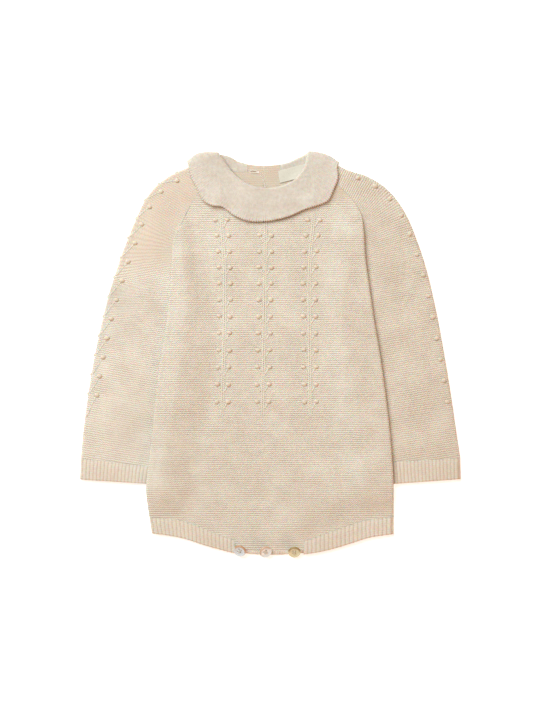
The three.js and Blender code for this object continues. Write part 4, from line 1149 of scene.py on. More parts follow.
@dataclass
class Bobbles:
    """Knitted bobbles, each a small ball of a few loops."""

    radius: float = 2.7
    height: float = 1.95
    long: float = 0.86  # length along the garment as a share of the width
    uneven: float = 0.06
    sunk: float = 0.8  # how far it goes on under the cloth
    sides: int = 10
    rings: int = 5

    def ball(self, x: float, y: float, z: float, turn: float, scale: float = 1.0) -> bpy.types.Object:
        """One bobble with its middle low on the cloth.

        Args:
            x: place across.
            y: place along.
            z: height of the cloth.
            turn: turn of its loops, in radians.
            scale: size against the usual one.

        Returns:
            The new object.
        """
        down = np.linspace(0, np.pi, self.rings + 2)[:, None]
        round_it = np.linspace(0, 2 * np.pi, self.sides + 1)[None]
        loops = 1 + self.uneven * np.sin(2 * (round_it - turn) + 2.2 * down) * np.sin(down)
        r = self.radius * scale * loops * np.sin(down)
        px = x + r * np.cos(round_it)
        py = y + self.long * r * np.sin(round_it)
        pz = z + self.height * scale * (0.2 + 0.8 * np.cos(down)) * np.ones_like(px)
        points = np.stack([px, py, np.maximum(pz, z - self.sunk)], axis=-1)
        uv = np.stack([px, py + 0.6 * pz], axis=-1)
        return skin("bobble", points, uv)


def slip(line: Array, radius: float, flat: float) -> bpy.types.Object:
    """One leg of a raised stitch, thin at its ends."""
    t = np.linspace(0, 1, len(line))
    return tube("slip", line, radius * (0.6 + 0.4 * np.sin(np.pi * t)), sides=6, flat=flat)


def branch_stitches(count: int = 4, points: int = 5) -> list[tuple[Array, Array]]:
    """Stitches of a slanting branch: shares along it, and the bow of each stitch from 0 to 1."""
    spans = [np.linspace(k / count - 0.05, (k + 1) / count + 0.09, points) for k in range(count)]
    return [(t, np.sin(np.pi * (t * count - k))) for k, t in enumerate(spans)]


@dataclass
class FrontPattern:
    """Three columns of bobble pairs on slanting stitches that leave a plaited stem."""

    stem_end: float = -63.0
    stitch: float = 2.1
    leg_out: float = 1.35
    leg_up: float = 2.5
    leg_radius: float = 0.9
    leg_flat: float = 0.48
    branch_drop: float = 8.6
    branch_start: float = 1.6  # from the stem's middle
    branch_end: float = 0.86  # share of the way out to the bobble
    branch_radius: float = 0.95
    branch_flat: float = 0.5

    def stem(self, column: Sequence[float]) -> list[bpy.types.Object]:
        """The V-shaped stitches that make the stem of a column.

        Args:
            column: its centre line.

        Returns:
            The stitches.
        """
        made = []
        t = np.linspace(0, 1, 5)
        for y in np.arange(PATTERN_TOP - 1, self.stem_end, -self.stitch):
            for side in (-1, 1):
                x = column_x(column, y) + side * (0.2 + self.leg_out * t ** 0.8)
                py = y - 1 + self.leg_up * t
                z = front_top(x, py) + 0.1 * np.sin(np.pi * t) - 0.05
                made.append(slip(np.stack([x, py, z], axis=-1), self.leg_radius, self.leg_flat))
        return made

    def branch(self, column: Sequence[float], y: float, aside: float) -> list[bpy.types.Object]:
        """Slanting stitches from the stem up to a bobble.

        Args:
            column: the stem's centre line.
            y: height of the bobble.
            aside: distance of the bobble from the stem, left or right.

        Returns:
            The stitches.
        """
        made = []
        start, end = self.branch_start * np.sign(aside), self.branch_end * aside
        for t, bow in branch_stitches():
            py = mix(y - self.branch_drop, y - 1.0, t)
            x = column_x(column, py) + start + (end - start) * t ** 1.25
            line = np.stack([x, py, front_top(x, py) + 0.12 * bow], axis=-1)
            made.append(slip(line, self.branch_radius, self.branch_flat))
        return made

    def build(self, wardrobe: Wardrobe) -> list[bpy.types.Object]:
        """Builds the stems, branches and bobbles of the front.

        Args:
            wardrobe: the finishes.

        Returns:
            The stems, the branches and the bobbles.
        """
        stems, branches, balls = [], [], []
        maker = Bobbles()
        rng = np.random.default_rng(11)
        for k, column in enumerate(COLUMNS):
            stems += self.stem(column)
            for row in range(1 if k == 1 else 0, PATTERN_ROWS):
                y = pair_y(row)
                half = mix(PAIR_HALF_TOP, PAIR_HALF[k], float(ease(0, 3, row)))
                for aside in (-half, half):
                    branches += self.branch(column, y, aside)
                    x = float(column_x(column, y)) + aside + rng.uniform(-0.3, 0.3)
                    place = y + rng.uniform(-0.4, 0.4)
                    scale = rng.uniform(0.86, 1.04)
                    balls.append(maker.ball(x, place, float(front_top(x, place)), rng.uniform(0, 6), scale))
        kinds = (
            ("stems", stems, wardrobe.stitch),
            ("branches", branches, wardrobe.stitch),
            ("bobbles", balls, wardrobe.yarn),
        )
        made = [(joined(f"front_{kind}", parts), finish) for kind, parts, finish in kinds]
        return [dress(piece, finish, Slot.WOOL) for piece, finish in made]


@dataclass
class Sleeve:
    """A sleeve: a tube folded flat, from the raglan seam to the cuff."""

    side: Side
    sections: tuple[tuple[float, ...], ...]
    flat: tuple[float, float]
    area: float
    per_section: int = 8
    across: int = 58
    under: int = 38
    spine: float = 0.3  # share of the width at which the courses are square to the sleeve
    tuck: float = 5.0  # how far the underarm corner goes on under the body
    tuck_fade: tuple[float, float] = (9.5, 5)  # sections over which it does
    puff: float = 0.6 * CLOTH.puff
    bobbled: int = 13
    first: float = 1.55  # section number of the first bobble, and steps to the next ones
    step: float = 1.13
    closing: float = 0.004
    inside: float = 5.2  # distance of the bobbles from the outer fold
    branched: bool = False  # whether its branches and second row of bobbles show

    @property
    def name(self) -> str:
        """Name of the sleeve's node."""
        return f"sleeve_{self.side.name.lower()}"

    def ends(self, n: Array) -> list[Array]:
        """Outer and underarm fold points at section numbers."""
        ox, oy, ix, iy = [curve(n) for curve in curves([(k, *row) for k, row in enumerate(self.sections)])]
        return [ox, oy, ix - self.side.value * self.tuck * ease(*self.tuck_fade, n), iy]

    def raglan(self, share: Array) -> tuple[Array, Array]:
        """Plan of the raglan seam at shares of the way from the neck to the underarm.

        Args:
            share: shares of the way.

        Returns:
            Places across and along.
        """
        side = SIDE[self.side]
        underarm = UNDERARM[self.side]
        gap = self.side.value * -0.25  # the seam's edges meet under their rims
        below = PATTERN_TOP - PATTERN_PITCH
        low = below if below > underarm else (PATTERN_TOP + underarm) / 2
        ys = [NECK_Y, *[mix(NECK_Y, PATTERN_TOP, s) for s in (0.33, 0.68, 1.0)], low, underarm]
        y = np.interp(share, SEAM_SHARES, ys)
        x = side(y) + gap
        start = self.sections[0]
        t = np.clip(share / SEAM_SHARES[0], 0, 1)
        corner = (float(side(NECK_Y)) + gap, NECK_Y)
        neck = share < SEAM_SHARES[0]
        return np.where(neck, mix(start[0], corner[0], t), x), np.where(neck, mix(start[1], corner[1], t), y)

    def plan(self, n: Array, along: Array) -> tuple[Array, Array]:
        """Plan of places at section numbers and distances from the outer fold.

        Args:
            n: section numbers.
            along: distances from the outer fold.

        Returns:
            Places across and along.
        """
        ox, oy, ix, iy = self.ends(n)
        width = np.hypot(ix - ox, iy - oy)
        share = along / width
        x, y = mix(ox, ix, share), mix(oy, iy, share)
        seam_x, seam_y = self.raglan(share)
        w = np.clip(n, 0, 1)
        return mix(seam_x, x, w), mix(seam_y, y, w)

    def top(self, x: Array, y: Array, n: Array, share: Array) -> Array:
        """Height of the upper surface, which puffs up in the middle of the arm.

        Args:
            x: places across.
            y: places along.
            n: section numbers.
            share: shares of the way from the outer fold to the underarm fold.

        Returns:
            The height at each place.
        """
        base = collar_lift(x, y) + np.interp(n, *SLEEVE_FADE) * sleeve_lift(x, y, RAMP_FRONT)
        middle = ease(0, 0.3, share) * (1 - ease(0.36, 0.66, share))
        return base + 2 * EDGE + self.puff * middle * ease(1, 3.5, n) * (1 - ease(14.5, 17, n))

    def layer(self, n: Array, outer: bool) -> Array:
        """Points of one side of the cloth.

        Args:
            n: section numbers of the rows.
            outer: whether it is the outside.

        Returns:
            Points by row and round the tube.
        """
        r = EDGE if outer else EDGE - CLOTH.wall
        inward = 0 if outer else CLOTH.wall
        theta = FOLD_STEPS[1:-1]
        rows = n[:, None]
        ox, oy, ix, iy = self.ends(rows)
        width = np.hypot(ix - ox, iy - oy)
        near = EDGE - r * np.cos(theta)[None] + 0 * width
        top = mix(EDGE, width - EDGE, np.linspace(0, 1, self.across)[None])
        low = mix(width - EDGE, EDGE, np.linspace(0, 1, self.under)[None])
        along = np.concatenate([near, top, width - near, low, near[:, :1]], axis=1)
        x, y = self.plan(rows + 0 * along, along)
        base = collar_lift(x, y) + np.interp(rows, *SLEEVE_FADE) * sleeve_lift(x, y, RAMP_BACK)
        turn = r * np.sin(theta)
        rise = np.concatenate([turn, np.zeros(self.across), turn[::-1], np.zeros(self.under), turn[:1]])
        z = base + EDGE + rise[None]
        upper = slice(len(theta), len(theta) + self.across)
        lower = slice(-1 - self.under, -1)
        z[:, upper] = self.top(x, y, rows + 0 * x, along / width)[:, upper] - inward
        z[:, lower] = base[:, lower] + inward
        return np.stack([x, y, z], axis=-1)

    def cloth_places(self, x: Array, y: Array) -> Array:
        """Places on the cloth, across and along the sleeve, so that courses run square to its length.

        Args:
            x: places across.
            y: places along.

        Returns:
            Places on the cloth, in millimetres.
        """
        points, reach = 240, 20  # of the sleeve's middle line, and how far to each side it is smoothed
        ox, oy, ix, iy = self.ends(np.linspace(0, len(self.sections) - 1, points))
        line = np.stack([mix(ox, ix, self.spine), mix(oy, iy, self.spine)], axis=-1)
        padded = np.pad(line, ((reach, reach), (0, 0)), mode="reflect", reflect_type="odd")
        even = np.full(2 * reach + 1, 1 / (2 * reach + 1))
        line = np.stack([np.convolve(padded[:, k], even, "valid") for k in (0, 1)], axis=-1)
        step = np.gradient(line, axis=0)
        step /= np.linalg.norm(step, axis=1, keepdims=True)
        run = np.concatenate([[0], np.cumsum(np.linalg.norm(np.diff(line, axis=0), axis=1))])
        flat = np.stack([x.ravel(), y.ravel()], axis=-1)
        near = np.argmin(((flat[:, None] - line[None]) ** 2).sum(-1), axis=1)
        off = flat - line[near]
        along = run[near] + (off * step[near]).sum(-1)
        across = off[:, 1] * step[near, 0] - off[:, 0] * step[near, 1]
        return np.stack([across, -along], axis=-1).reshape(*x.shape, 2)

    def surface(self, n: float, along: float) -> tuple[float, float, float]:
        """A point on the upper surface.

        Args:
            n: section number.
            along: distance from the outer fold.

        Returns:
            The point, in millimetres.
        """
        row = np.array([float(n)])
        x, y = self.plan(row, np.array([float(along)]))
        ox, oy, ix, iy = self.ends(row)
        share = along / np.hypot(ix - ox, iy - oy)
        z = self.top(x, y, row, share)
        return float(x[0]), float(y[0]), float(z[0])

    def build(self, wardrobe: Wardrobe) -> bpy.types.Object:
        """Builds and dresses the sleeve.

        Args:
            wardrobe: the finishes.

        Returns:
            The sleeve.
        """
        last = len(self.sections) - 1
        n = np.linspace(0, last, last * self.per_section + 1)
        crisp_start, crisp_end = 0.015, last - 0.012  # close rows keep both ends crisp
        n = np.concatenate([n[:1], [crisp_start], n[1:-1], [crisp_end], n[-1:]])
        outer, inner = self.layer(n, True), self.layer(n, False)
        uv = self.cloth_places(outer[..., 0], outer[..., 1])
        piece = skin(f"{self.name}_knit", *tube_grid(outer, inner, uv, RIM))
        return dress(piece, wardrobe.sleeves[self.side], Slot.WOOL, self.name)

    def pattern(self, wardrobe: Wardrobe) -> list[bpy.types.Object]:
        """Builds the bobbles along the outer fold, with their slanting stitches where they show.

        Args:
            wardrobe: the finishes.

        Returns:
            The bobbles, and the stitches where they show.
        """
        rng = np.random.default_rng(21 + self.side.value)
        maker = Bobbles()
        balls, branches = [], []
        for k in range(self.bobbled):
            n = self.first + self.step * k - self.closing * k * k
            x, y, z = self.surface(n, self.inside + rng.uniform(-0.3, 0.3))
            balls.append(maker.ball(x, y, z, rng.uniform(0, 6), rng.uniform(0.9, 1.05)))
            if not self.branched:
                continue
            x, y, _ = self.surface(n, 1.1)
            z = EDGE + 0.4 + float(collar_lift(x, y))
            balls.append(maker.ball(x, y, z, rng.uniform(0, 6), 0.85))
            for t, bow in branch_stitches():
                n_at, in_at = mix(n + 0.95, n + 0.12, t), mix(2.2, self.inside - 0.6, t)
                line = np.array([self.surface(*at) for at in zip(n_at, in_at)])
                line[:, 2] += 0.1 * bow
                branches.append(slip(line, 0.8, 0.28))
        kinds = (("bobbles", balls, wardrobe.yarn), ("branches", branches, wardrobe.stitch))
        return [
            dress(joined(f"{self.name}_{kind}", parts), finish, Slot.WOOL)
            for kind, parts, finish in kinds if parts
        ]


@dataclass
class RibbedBand:
    """What the cuffs and the leg bands have in common."""

    side: Side
    flat: tuple[float, float]
    ribs: int
    length: float  # of its ribs, for the places on the cloth
    rows: int
    per_rib: int = 8

    @property
    def count(self) -> int:
        """Points across one side of the band."""
        return self.ribs * self.per_rib

    def walls(self, s: Array, outer: bool) -> tuple[Array, Array]:
        """Heights of the walls; narrow grooves deepen from the seam on.

        Args:
            s: shares of the way from the seam to the edge, one a row.
            outer: whether it is the outside.

        Returns:
            Heights of the upper wall, and of the lower one in the opposite order.
        """
        if not outer:
            flat = np.zeros((len(s), self.count))
            return flat + 2 * EDGE - CLOTH.wall, flat + CLOTH.wall
        groove = 1 - np.abs(np.sin(np.pi * self.ribs * np.linspace(0, 1, self.count))) ** 0.5
        depth = 0.75 * CLOTH.rib * groove[None] * ease(-0.1, 0.3, s)
        under = 0.2  # how far below the cloth's surface the band starts
        return 2 * EDGE - under + (under + 0.8 * CLOTH.rib) * ease(-0.03, 0.34, s) - depth, depth[:, ::-1]

    def cloth_places(self, s: Array, along: Array, skipped: int) -> Array:
        """Places on the cloth, in step with the ribs, after some skipped points of a fold.

        Args:
            s: shares of the way from the seam to the edge, one a row.
            along: distances across, a column for each point.
            skipped: points of a fold before the first rib.

        Returns:
            Places on the cloth, in millimetres.
        """
        pitch = RIB_PITCH * self.ribs / (self.count - 1)
        round_it = (np.arange(along.shape[1])[None] - skipped) * pitch + 0 * along
        return np.stack([round_it, -s * self.length + 0 * along], axis=-1)

    def dressed(self, name: str, grid: tuple[Array, Array], wardrobe: Wardrobe) -> bpy.types.Object:
        """Makes the band of a closed grid and dresses it."""
        name = f"{name}_{self.side.name.lower()}"
        return dress(skin(f"{name}_rib", *grid), wardrobe.rib, Slot.WOOL, name)


@dataclass
class Cuff(RibbedBand):
    """Ribbed band at the end of a sleeve."""

    ribs: int = 23
    length: float = 21.0
    rows: int = 14

    def layer(self, seam: Sequence[float], outer: bool) -> tuple[Array, Array]:
        """Points of one side of the cloth from a sleeve's last section on, and places on it.

        Args:
            seam: the sleeve's last section.
            outer: whether it is the outside.

        Returns:
            Points, and places on the cloth.
        """
        s = np.linspace(0, 1, self.rows)[:, None]
        start = np.where(s > 0, s, -0.03)  # its first row goes on into the sleeve
        ox, oy, ix, iy = [mix(a, b, start) for a, b in zip(seam, CUFF_END[self.side])]
        width = np.hypot(ix - ox, iy - oy)
        r = EDGE if outer else EDGE - CLOTH.wall
        theta = FOLD_STEPS[1:-1]
        near = EDGE - r * np.cos(theta)[None] + 0 * width
        top = mix(EDGE, width - EDGE, np.linspace(0, 1, self.count)[None])
        along = np.concatenate([near, top, width - near, top[:, ::-1], near[:, :1]], axis=1)
        up, down = self.walls(s, outer)
        turned = EDGE + r * np.sin(theta)[None] + 0 * s
        z = np.concatenate([turned, up, turned[:, ::-1], down, turned[:, :1]], axis=1)
        share = along / width
        points = np.stack([mix(ox, ix, share), mix(oy, iy, share), z], axis=-1)
        return points, self.cloth_places(s, along, len(theta))

    def build(self, seam: Sequence[float], wardrobe: Wardrobe) -> bpy.types.Object:
        """Builds and dresses the cuff."""
        (outer, uv), (inner, _) = self.layer(seam, True), self.layer(seam, False)
        return self.dressed("cuff", tube_grid(outer, inner, uv), wardrobe)


@dataclass
class LegBand(RibbedBand):
    """Ribbed band round a leg opening, from the crotch over the side to the crotch again."""

    ribs: int = 21
    length: float = 17.0
    rows: int = 12
    low: float = -179.6  # height of its edge at the side

    def layer(self, outer: bool) -> tuple[Array, Array]:
        """Points of one side of the cloth, and places on it.

        Args:
            outer: whether it is the outside.

        Returns:
            Points, and places on the cloth.
        """
        inner_x, seam_x = (CROTCH_LEFT, -117.0) if self.side is Side.LEFT else (CROTCH_RIGHT, 127.8)
        s = np.linspace(0, 1, self.rows)[:, None]
        ox = SIDE[self.side](mix(float(SEWN(seam_x)), self.low, s))
        width = np.abs(inner_x - self.side.value * CLOTH.seam - ox)
        r = EDGE if outer else EDGE - CLOTH.wall
        theta = FOLD_STEPS[::-1][1:-1]
        top = mix(width, EDGE + 0 * width, np.linspace(0, 1, self.count)[None])
        near = EDGE - r * np.cos(theta)[None] + 0 * width
        along = np.concatenate([top, near, top[:, ::-1]], axis=1)
        up, down = self.walls(s, outer)
        z = np.concatenate([up, EDGE + r * np.sin(theta)[None] + 0 * s, down], axis=1)
        x = ox - self.side.value * along
        y = mix(SEWN(x) + CLOTH.seam, LOWER_EDGE(x), s)
        return np.stack([x, y, z], axis=-1), self.cloth_places(s, along, 0)

    def build(self, wardrobe: Wardrobe) -> bpy.types.Object:
        """Builds and dresses the band."""
        (outer, uv), (inner, _) = self.layer(True), self.layer(False)
        return self.dressed("leg_band", sheet_grid(outer, inner, uv), wardrobe)


@dataclass
class Collar:
    """Ruffled collar, turned outwards all round the neck and open at the back."""

    flat: tuple[float, float] = (0.36, 0.04)
    area: float = 0.0107
    front_steps: int = 640
    back_steps: int = 60
    turn_steps: int = 17
    picot: float = 2.3
    picot_out: float = 0.9
    picot_up: float = 0.5
    tuck: float = 1.1  # how far its sewn edge goes on under the neck's edge
    lean: float = 35.0  # how far the back halves turn before the shoulder, in degrees
    arch: tuple[float, float] = (3.6, 2.2)  # how far it bows over the left and the right shoulder
    soft_fold: tuple[float, float] = (0.24, 0.12)  # how much its fold is flattened, and over which share
    stand_run: float = 8.0  # of its pattern, from the sewn edge to the fold
    fall_start: float = 16.0  # of its pattern, after the fold
    fall_run: float = 26.0

    def places(self) -> tuple[list[Array], Array, Array]:
        """Table values, tilt and side of the places round the collar.

        Returns:
            Values of each column of the tables, tilts in degrees, and sides.
        """
        parts, tilts, sides = [], [], []

        def add(rows: Sequence[Sequence[float]], at: Array, tilt: Array, side: int) -> None:
            """Adds places read from a table.

            Args:
                rows: the table.
                at: row numbers, whole or between rows.
                tilt: how far the collar is turned over there, in degrees.
                side: -1 for the left half, 1 for the right.
            """
            table = curves([(k, *row) for k, row in enumerate(rows)])
            parts.append(np.stack([curve(at) for curve in table]))
            tilts.append(np.broadcast_to(tilt, at.shape))
            sides.append(np.full(at.shape, side))

        back = np.linspace(3, 0, self.back_steps)
        last = len(COLLAR_FRONT) - 1
        front = np.linspace(0, last, self.front_steps)
        shoulder = -90 + self.lean * ease(1.3, 0, back)
        turn = np.linspace(self.lean - 90, 90, self.turn_steps)[1:-1]
        add(COLLAR_BACK[Side.LEFT], back, shoulder, -1)
        add(COLLAR_FRONT, 0 * turn, turn, -1)
        add(COLLAR_FRONT, front[front <= last / 2], 90.0, -1)
        add(COLLAR_FRONT, front[front > last / 2], 90.0, 1)
        add(COLLAR_FRONT, 0 * turn + last, turn[::-1], 1)
        add(COLLAR_BACK[Side.RIGHT], back[::-1], shoulder[::-1], 1)
        return list(np.concatenate(parts, axis=1)), np.concatenate(tilts), np.concatenate(sides)

    def layer(self, outer: bool) -> tuple[Array, Array]:
        """Points of one side of the cloth, and places on it.

        Args:
            outer: whether it is the outside.

        Returns:
            Points, and places on the cloth.
        """
        (sx, sy, fx, fy, ex, ey), tilt, side = self.places()
        r = FOLD_RADIUS if outer else FOLD_RADIUS - CLOTH.wall
        centre = EDGE + CLOTH.clear / 2
        length = np.hypot(ex - fx, ey - fy)
        dx, dy = (ex - fx) / length, (ey - fy) / length
        nx, ny = side * -dy, side * dx
        edge_run = np.concatenate([[0], np.cumsum(np.hypot(np.diff(ex), np.diff(ey)))])
        picot = np.abs(np.sin(np.pi * edge_run / self.picot))
        sin, cos = np.sin(np.radians(tilt)), np.cos(np.radians(tilt))
        # Rows from the sewn edge over the fold to the outer edge: x, y, height, share of the fall.
        start_x, start_y = fx + dx * FOLD_RADIUS, fy + dy * FOLD_RADIUS
        tucked = -self.tuck / np.hypot(start_x - sx, start_y - sy)
        thin = 0.45 if outer else -0.45  # the sewn edge is thinner than the rest
        rows = [(mix(sx, start_x, tucked), mix(sy, start_y, tucked), centre - r + thin, 0.0)]
        across = [-self.tuck]
        for t in np.linspace(0, 1, 5)[:-1]:
            rows.append((mix(sx, start_x, t), mix(sy, start_y, t), centre - r, 0.0))
            across.append(t * self.stand_run)
        for angle in FOLD_STEPS:
            reach = FOLD_RADIUS - r * math.cos(angle)
            rows.append((fx + dx * reach, fy + dy * reach, centre + r * math.sin(angle), 0.0))
            across.append(self.stand_run + (angle + math.pi / 2) * FOLD_RADIUS)
        for share in np.linspace(0, 1, 27)[1:]:
            reach = mix(FOLD_RADIUS, length + self.picot_out * picot * ease(0.9, 1, share), share)
            rows.append((fx + dx * reach, fy + dy * reach, centre + r, share))
            across.append(self.fall_start + share * self.fall_run)
        points = []
        on_front = ease(60, 90, tilt)
        arch = np.where(side < 0, *self.arch) * ease(-60, 10, tilt)
        flattened, run = self.soft_fold
        for x, y, away, share in rows:
            bowed = away * (1 - flattened * math.exp(-share / run)) + arch * np.sin(np.pi * share ** 1.3)
            x, y = x + bowed * cos * nx, y + bowed * cos * ny
            lie = np.maximum(0, front_base(x, y) - (CLOTH.under_collar + CLOTH.wall + CLOTH.slack))
            wave = sum(rise * np.exp(-(((x - at) / width) ** 2)) for at, width, rise in WAVES)
            rib = 0.045 * np.sin(2 * np.pi * edge_run / 3.3) * ease(0.5, 0.85, share)
            above = lie + CLOTH.seam * ease(0, 0.3, share) + wave * ease(0.4, 1, share) + rib
            above = above + self.picot_up * picot * ease(0.93, 1, share)
            z = COLLAR_MIDDLE + away * sin + (on_front * above if share > 0 else 0)
            points.append(np.stack(np.broadcast_arrays(x, y, z), axis=-1))
        uv = np.stack(np.broadcast_arrays(np.array(across)[:, None], 0.85 * edge_run[None]), axis=-1)
        return np.stack(points), uv

    def build(self, wardrobe: Wardrobe) -> bpy.types.Object:
        """Builds and dresses the collar.

        Args:
            wardrobe: the finishes.

        Returns:
            The collar.
        """
        (outer, uv), (inner, _) = self.layer(True), self.layer(False)
        piece = skin("collar_knit", *sheet_grid(outer, inner, uv, 0.4))
        return dress(piece, wardrobe.collar, Slot.WOOL, "collar")


@dataclass
class Label:
    """A short woven tape sewn to the inside of the back, left bare."""

    corner: tuple[float, float] = (12, 183)
    end: tuple[float, float] = (41.2, 190.6)
    low: tuple[float, float] = (14.2, 171)
    thick: float = 0.4
    lift: float = 0.15  # how far it stands off the back
    curl: float = 1.1  # of its free edge
    ripple: float = 0.12
    flat: tuple[float, float] = (0.0302, 0.0122)

    def build(self, wardrobe: Wardrobe) -> bpy.types.Object:
        """Builds and dresses the label.

        Args:
            wardrobe: the finishes.

        Returns:
            The label.
        """
        a, b, c = (np.array(p, float) for p in (self.corner, self.end, self.low))
        i, j = np.meshgrid(np.linspace(0, 1, 22), np.linspace(0, 1, 44), indexing="ij")
        plan = a + (b - a) * j[..., None] + (c - a) * i[..., None]
        rest = CLOTH.under_collar + CLOTH.wall + CLOTH.seam
        ripple = self.ripple * np.sin(9 * j + 2 * i) * np.sin(np.pi * i)
        curl = self.curl * i ** 3 * ease(0.25, 0.6, j)
        low = np.concatenate([plan, (rest + self.lift + ripple + curl)[..., None]], axis=-1)
        high = low + np.array([0, 0, self.thick])
        uv = np.stack([j * self.flat[0], i * self.flat[1]], axis=-1) / MM
        piece = skin("label_woven", *sheet_grid(high, low, uv, 0.15))
        return dress(piece, wardrobe.tape, Slot.LABEL, "label")


@dataclass
class Button:
    """A four-hole shell button sewn on with yarn."""

    name: str
    node: str
    pearl: bpy.types.Material
    place: tuple[float, float, float]
    tilt: float = 0.0
    turn: float = 0.0
    radius: float = 6.35
    thick: float = 2.6
    hole_circle: float = 1.6
    hole_radius: float = 0.75
    thread: float = 0.34
    dish: float = 0.6  # depth of the face's middle

    @classmethod
    def on_crotch(cls, name: str, pearl: bpy.types.Material, x: float, y: float, tilt: float, turn: float,
                  lift: float) -> "Button":
        """A button that leans on the rolled lower edge of the front.

        Args:
            name: its node.
            pearl: its finish.
            x: its place across.
            y: its place along.
            tilt: how far its face leans towards the lower edge, in degrees.
            turn: its turn on the cloth, in degrees.
            lift: how much further it stands off.

        Returns:
            The button.
        """
        lean = math.radians(tilt)
        rest = EDGE + CLOTH.clear + cls.thick / 2
        touch = float(LOWER_EDGE(x)) + CROTCH_INSET + EDGE - rest * math.sin(lean)
        up = (y - touch) / math.cos(lean)
        z = EDGE + rest * math.cos(lean) + up * math.sin(lean) + lift
        return cls(f"{name}_pearl", name, pearl, (x, y, z), tilt, turn)

    def matrix(self) -> Matrix:
        """Where the button lies.

        Returns:
            Its turn and its place.
        """
        turn = Matrix.Rotation(math.radians(self.turn), 4, "Z")
        tilt = Matrix.Rotation(math.radians(self.tilt), 4, "X")
        return Matrix.Translation(Vector(self.place) * MM) @ (turn @ tilt)

    @property
    def scale(self) -> float:
        """Size against the crotch buttons."""
        return self.radius / Button.radius

    def hole(self, k: int) -> Vector:
        """Place of a hole, in millimetres from the middle."""
        angle = math.radians(45 + 90 * k)
        return Vector((math.cos(angle), math.sin(angle), 0)) * self.hole_circle * self.scale

    def body(self) -> bpy.types.Object:
        """The turned disc with its rim and dished face.

        Returns:
            The disc, at the origin.
        """
        r, s, half = self.radius, self.scale, self.thick / 2
        profile = [
            (0.01, -half), (r - 1.5, -half), (r - 0.7, 0.25 - half), (r - 0.15, 0.7 - half), (r, 1.1 - half),
            (r, half - 0.8), (r - 0.2, half - 0.3), (r - 0.6, half), (r - 1.1 * s, half - 0.02),
            (r - 1.6 * s, half - 0.35), (r - 2.1 * s, half - 0.65), (r - 2.8 * s, half - 0.72),
            (0.01, half - self.dish),
        ]
        bm = bmesh.new()
        verts = [bm.verts.new((x * MM, 0, z * MM)) for x, z in profile]
        edges = [bm.edges.new(pair) for pair in zip(verts, verts[1:])]
        bmesh.ops.spin(bm, geom=verts + edges, cent=(0, 0, 0), axis=(0, 0, 1), dvec=(0, 0, 0),
                       angle=2 * math.pi, steps=48, use_merge=True, use_duplicate=False)
        bmesh.ops.remove_doubles(bm, verts=bm.verts, dist=2e-5)
        layer = bm.loops.layers.uv.new("cloth")
        for face in bm.faces:
            face.smooth = True
            for loop in face.loops:
                loop[layer].uv = loop.vert.co.xy
        return finished(self.name, bm)

    def stitches(self) -> bpy.types.Object:
        """Two bars of thread over the face, from hole to hole, that end in the holes.

        Returns:
            The thread, in its place on the button.
        """
        bars = []
        t = np.linspace(0, 1, 12)[:, None]
        for a, b in ((0, 1), (3, 2)):
            line = mix(np.array(self.hole(a)), np.array(self.hole(b)), t)
            line[:, 2] = self.thick / 2 - self.dish + 0.3 - 1.1 * (2 * t[:, 0] - 1) ** 8
            bars.append(tube("bar", line, self.thread, sides=8, twist=0.5, depth=0.25))
        piece = joined(self.name.replace("pearl", "thread"), bars)
        piece.data.transform(self.matrix())
        return piece

    def build(self, wardrobe: Wardrobe) -> None:
        """Builds and dresses the button and its stitches.

        Args:
            wardrobe: the finishes.
        """
        piece = self.body()
        for k in range(4):
            bm, r = bmesh.new(), self.hole_radius * MM
            bmesh.ops.create_cone(bm, cap_ends=True, segments=16, radius1=r, radius2=r, depth=9 * MM,
                                  matrix=Matrix.Translation(self.hole(k) * MM))
            cut(piece, finished("cutter", bm))
        piece.data.transform(self.matrix())
        dress(piece, self.pearl, Slot.PEARL, self.node)
        dress(self.stitches(), wardrobe.yarn, Slot.WOOL)


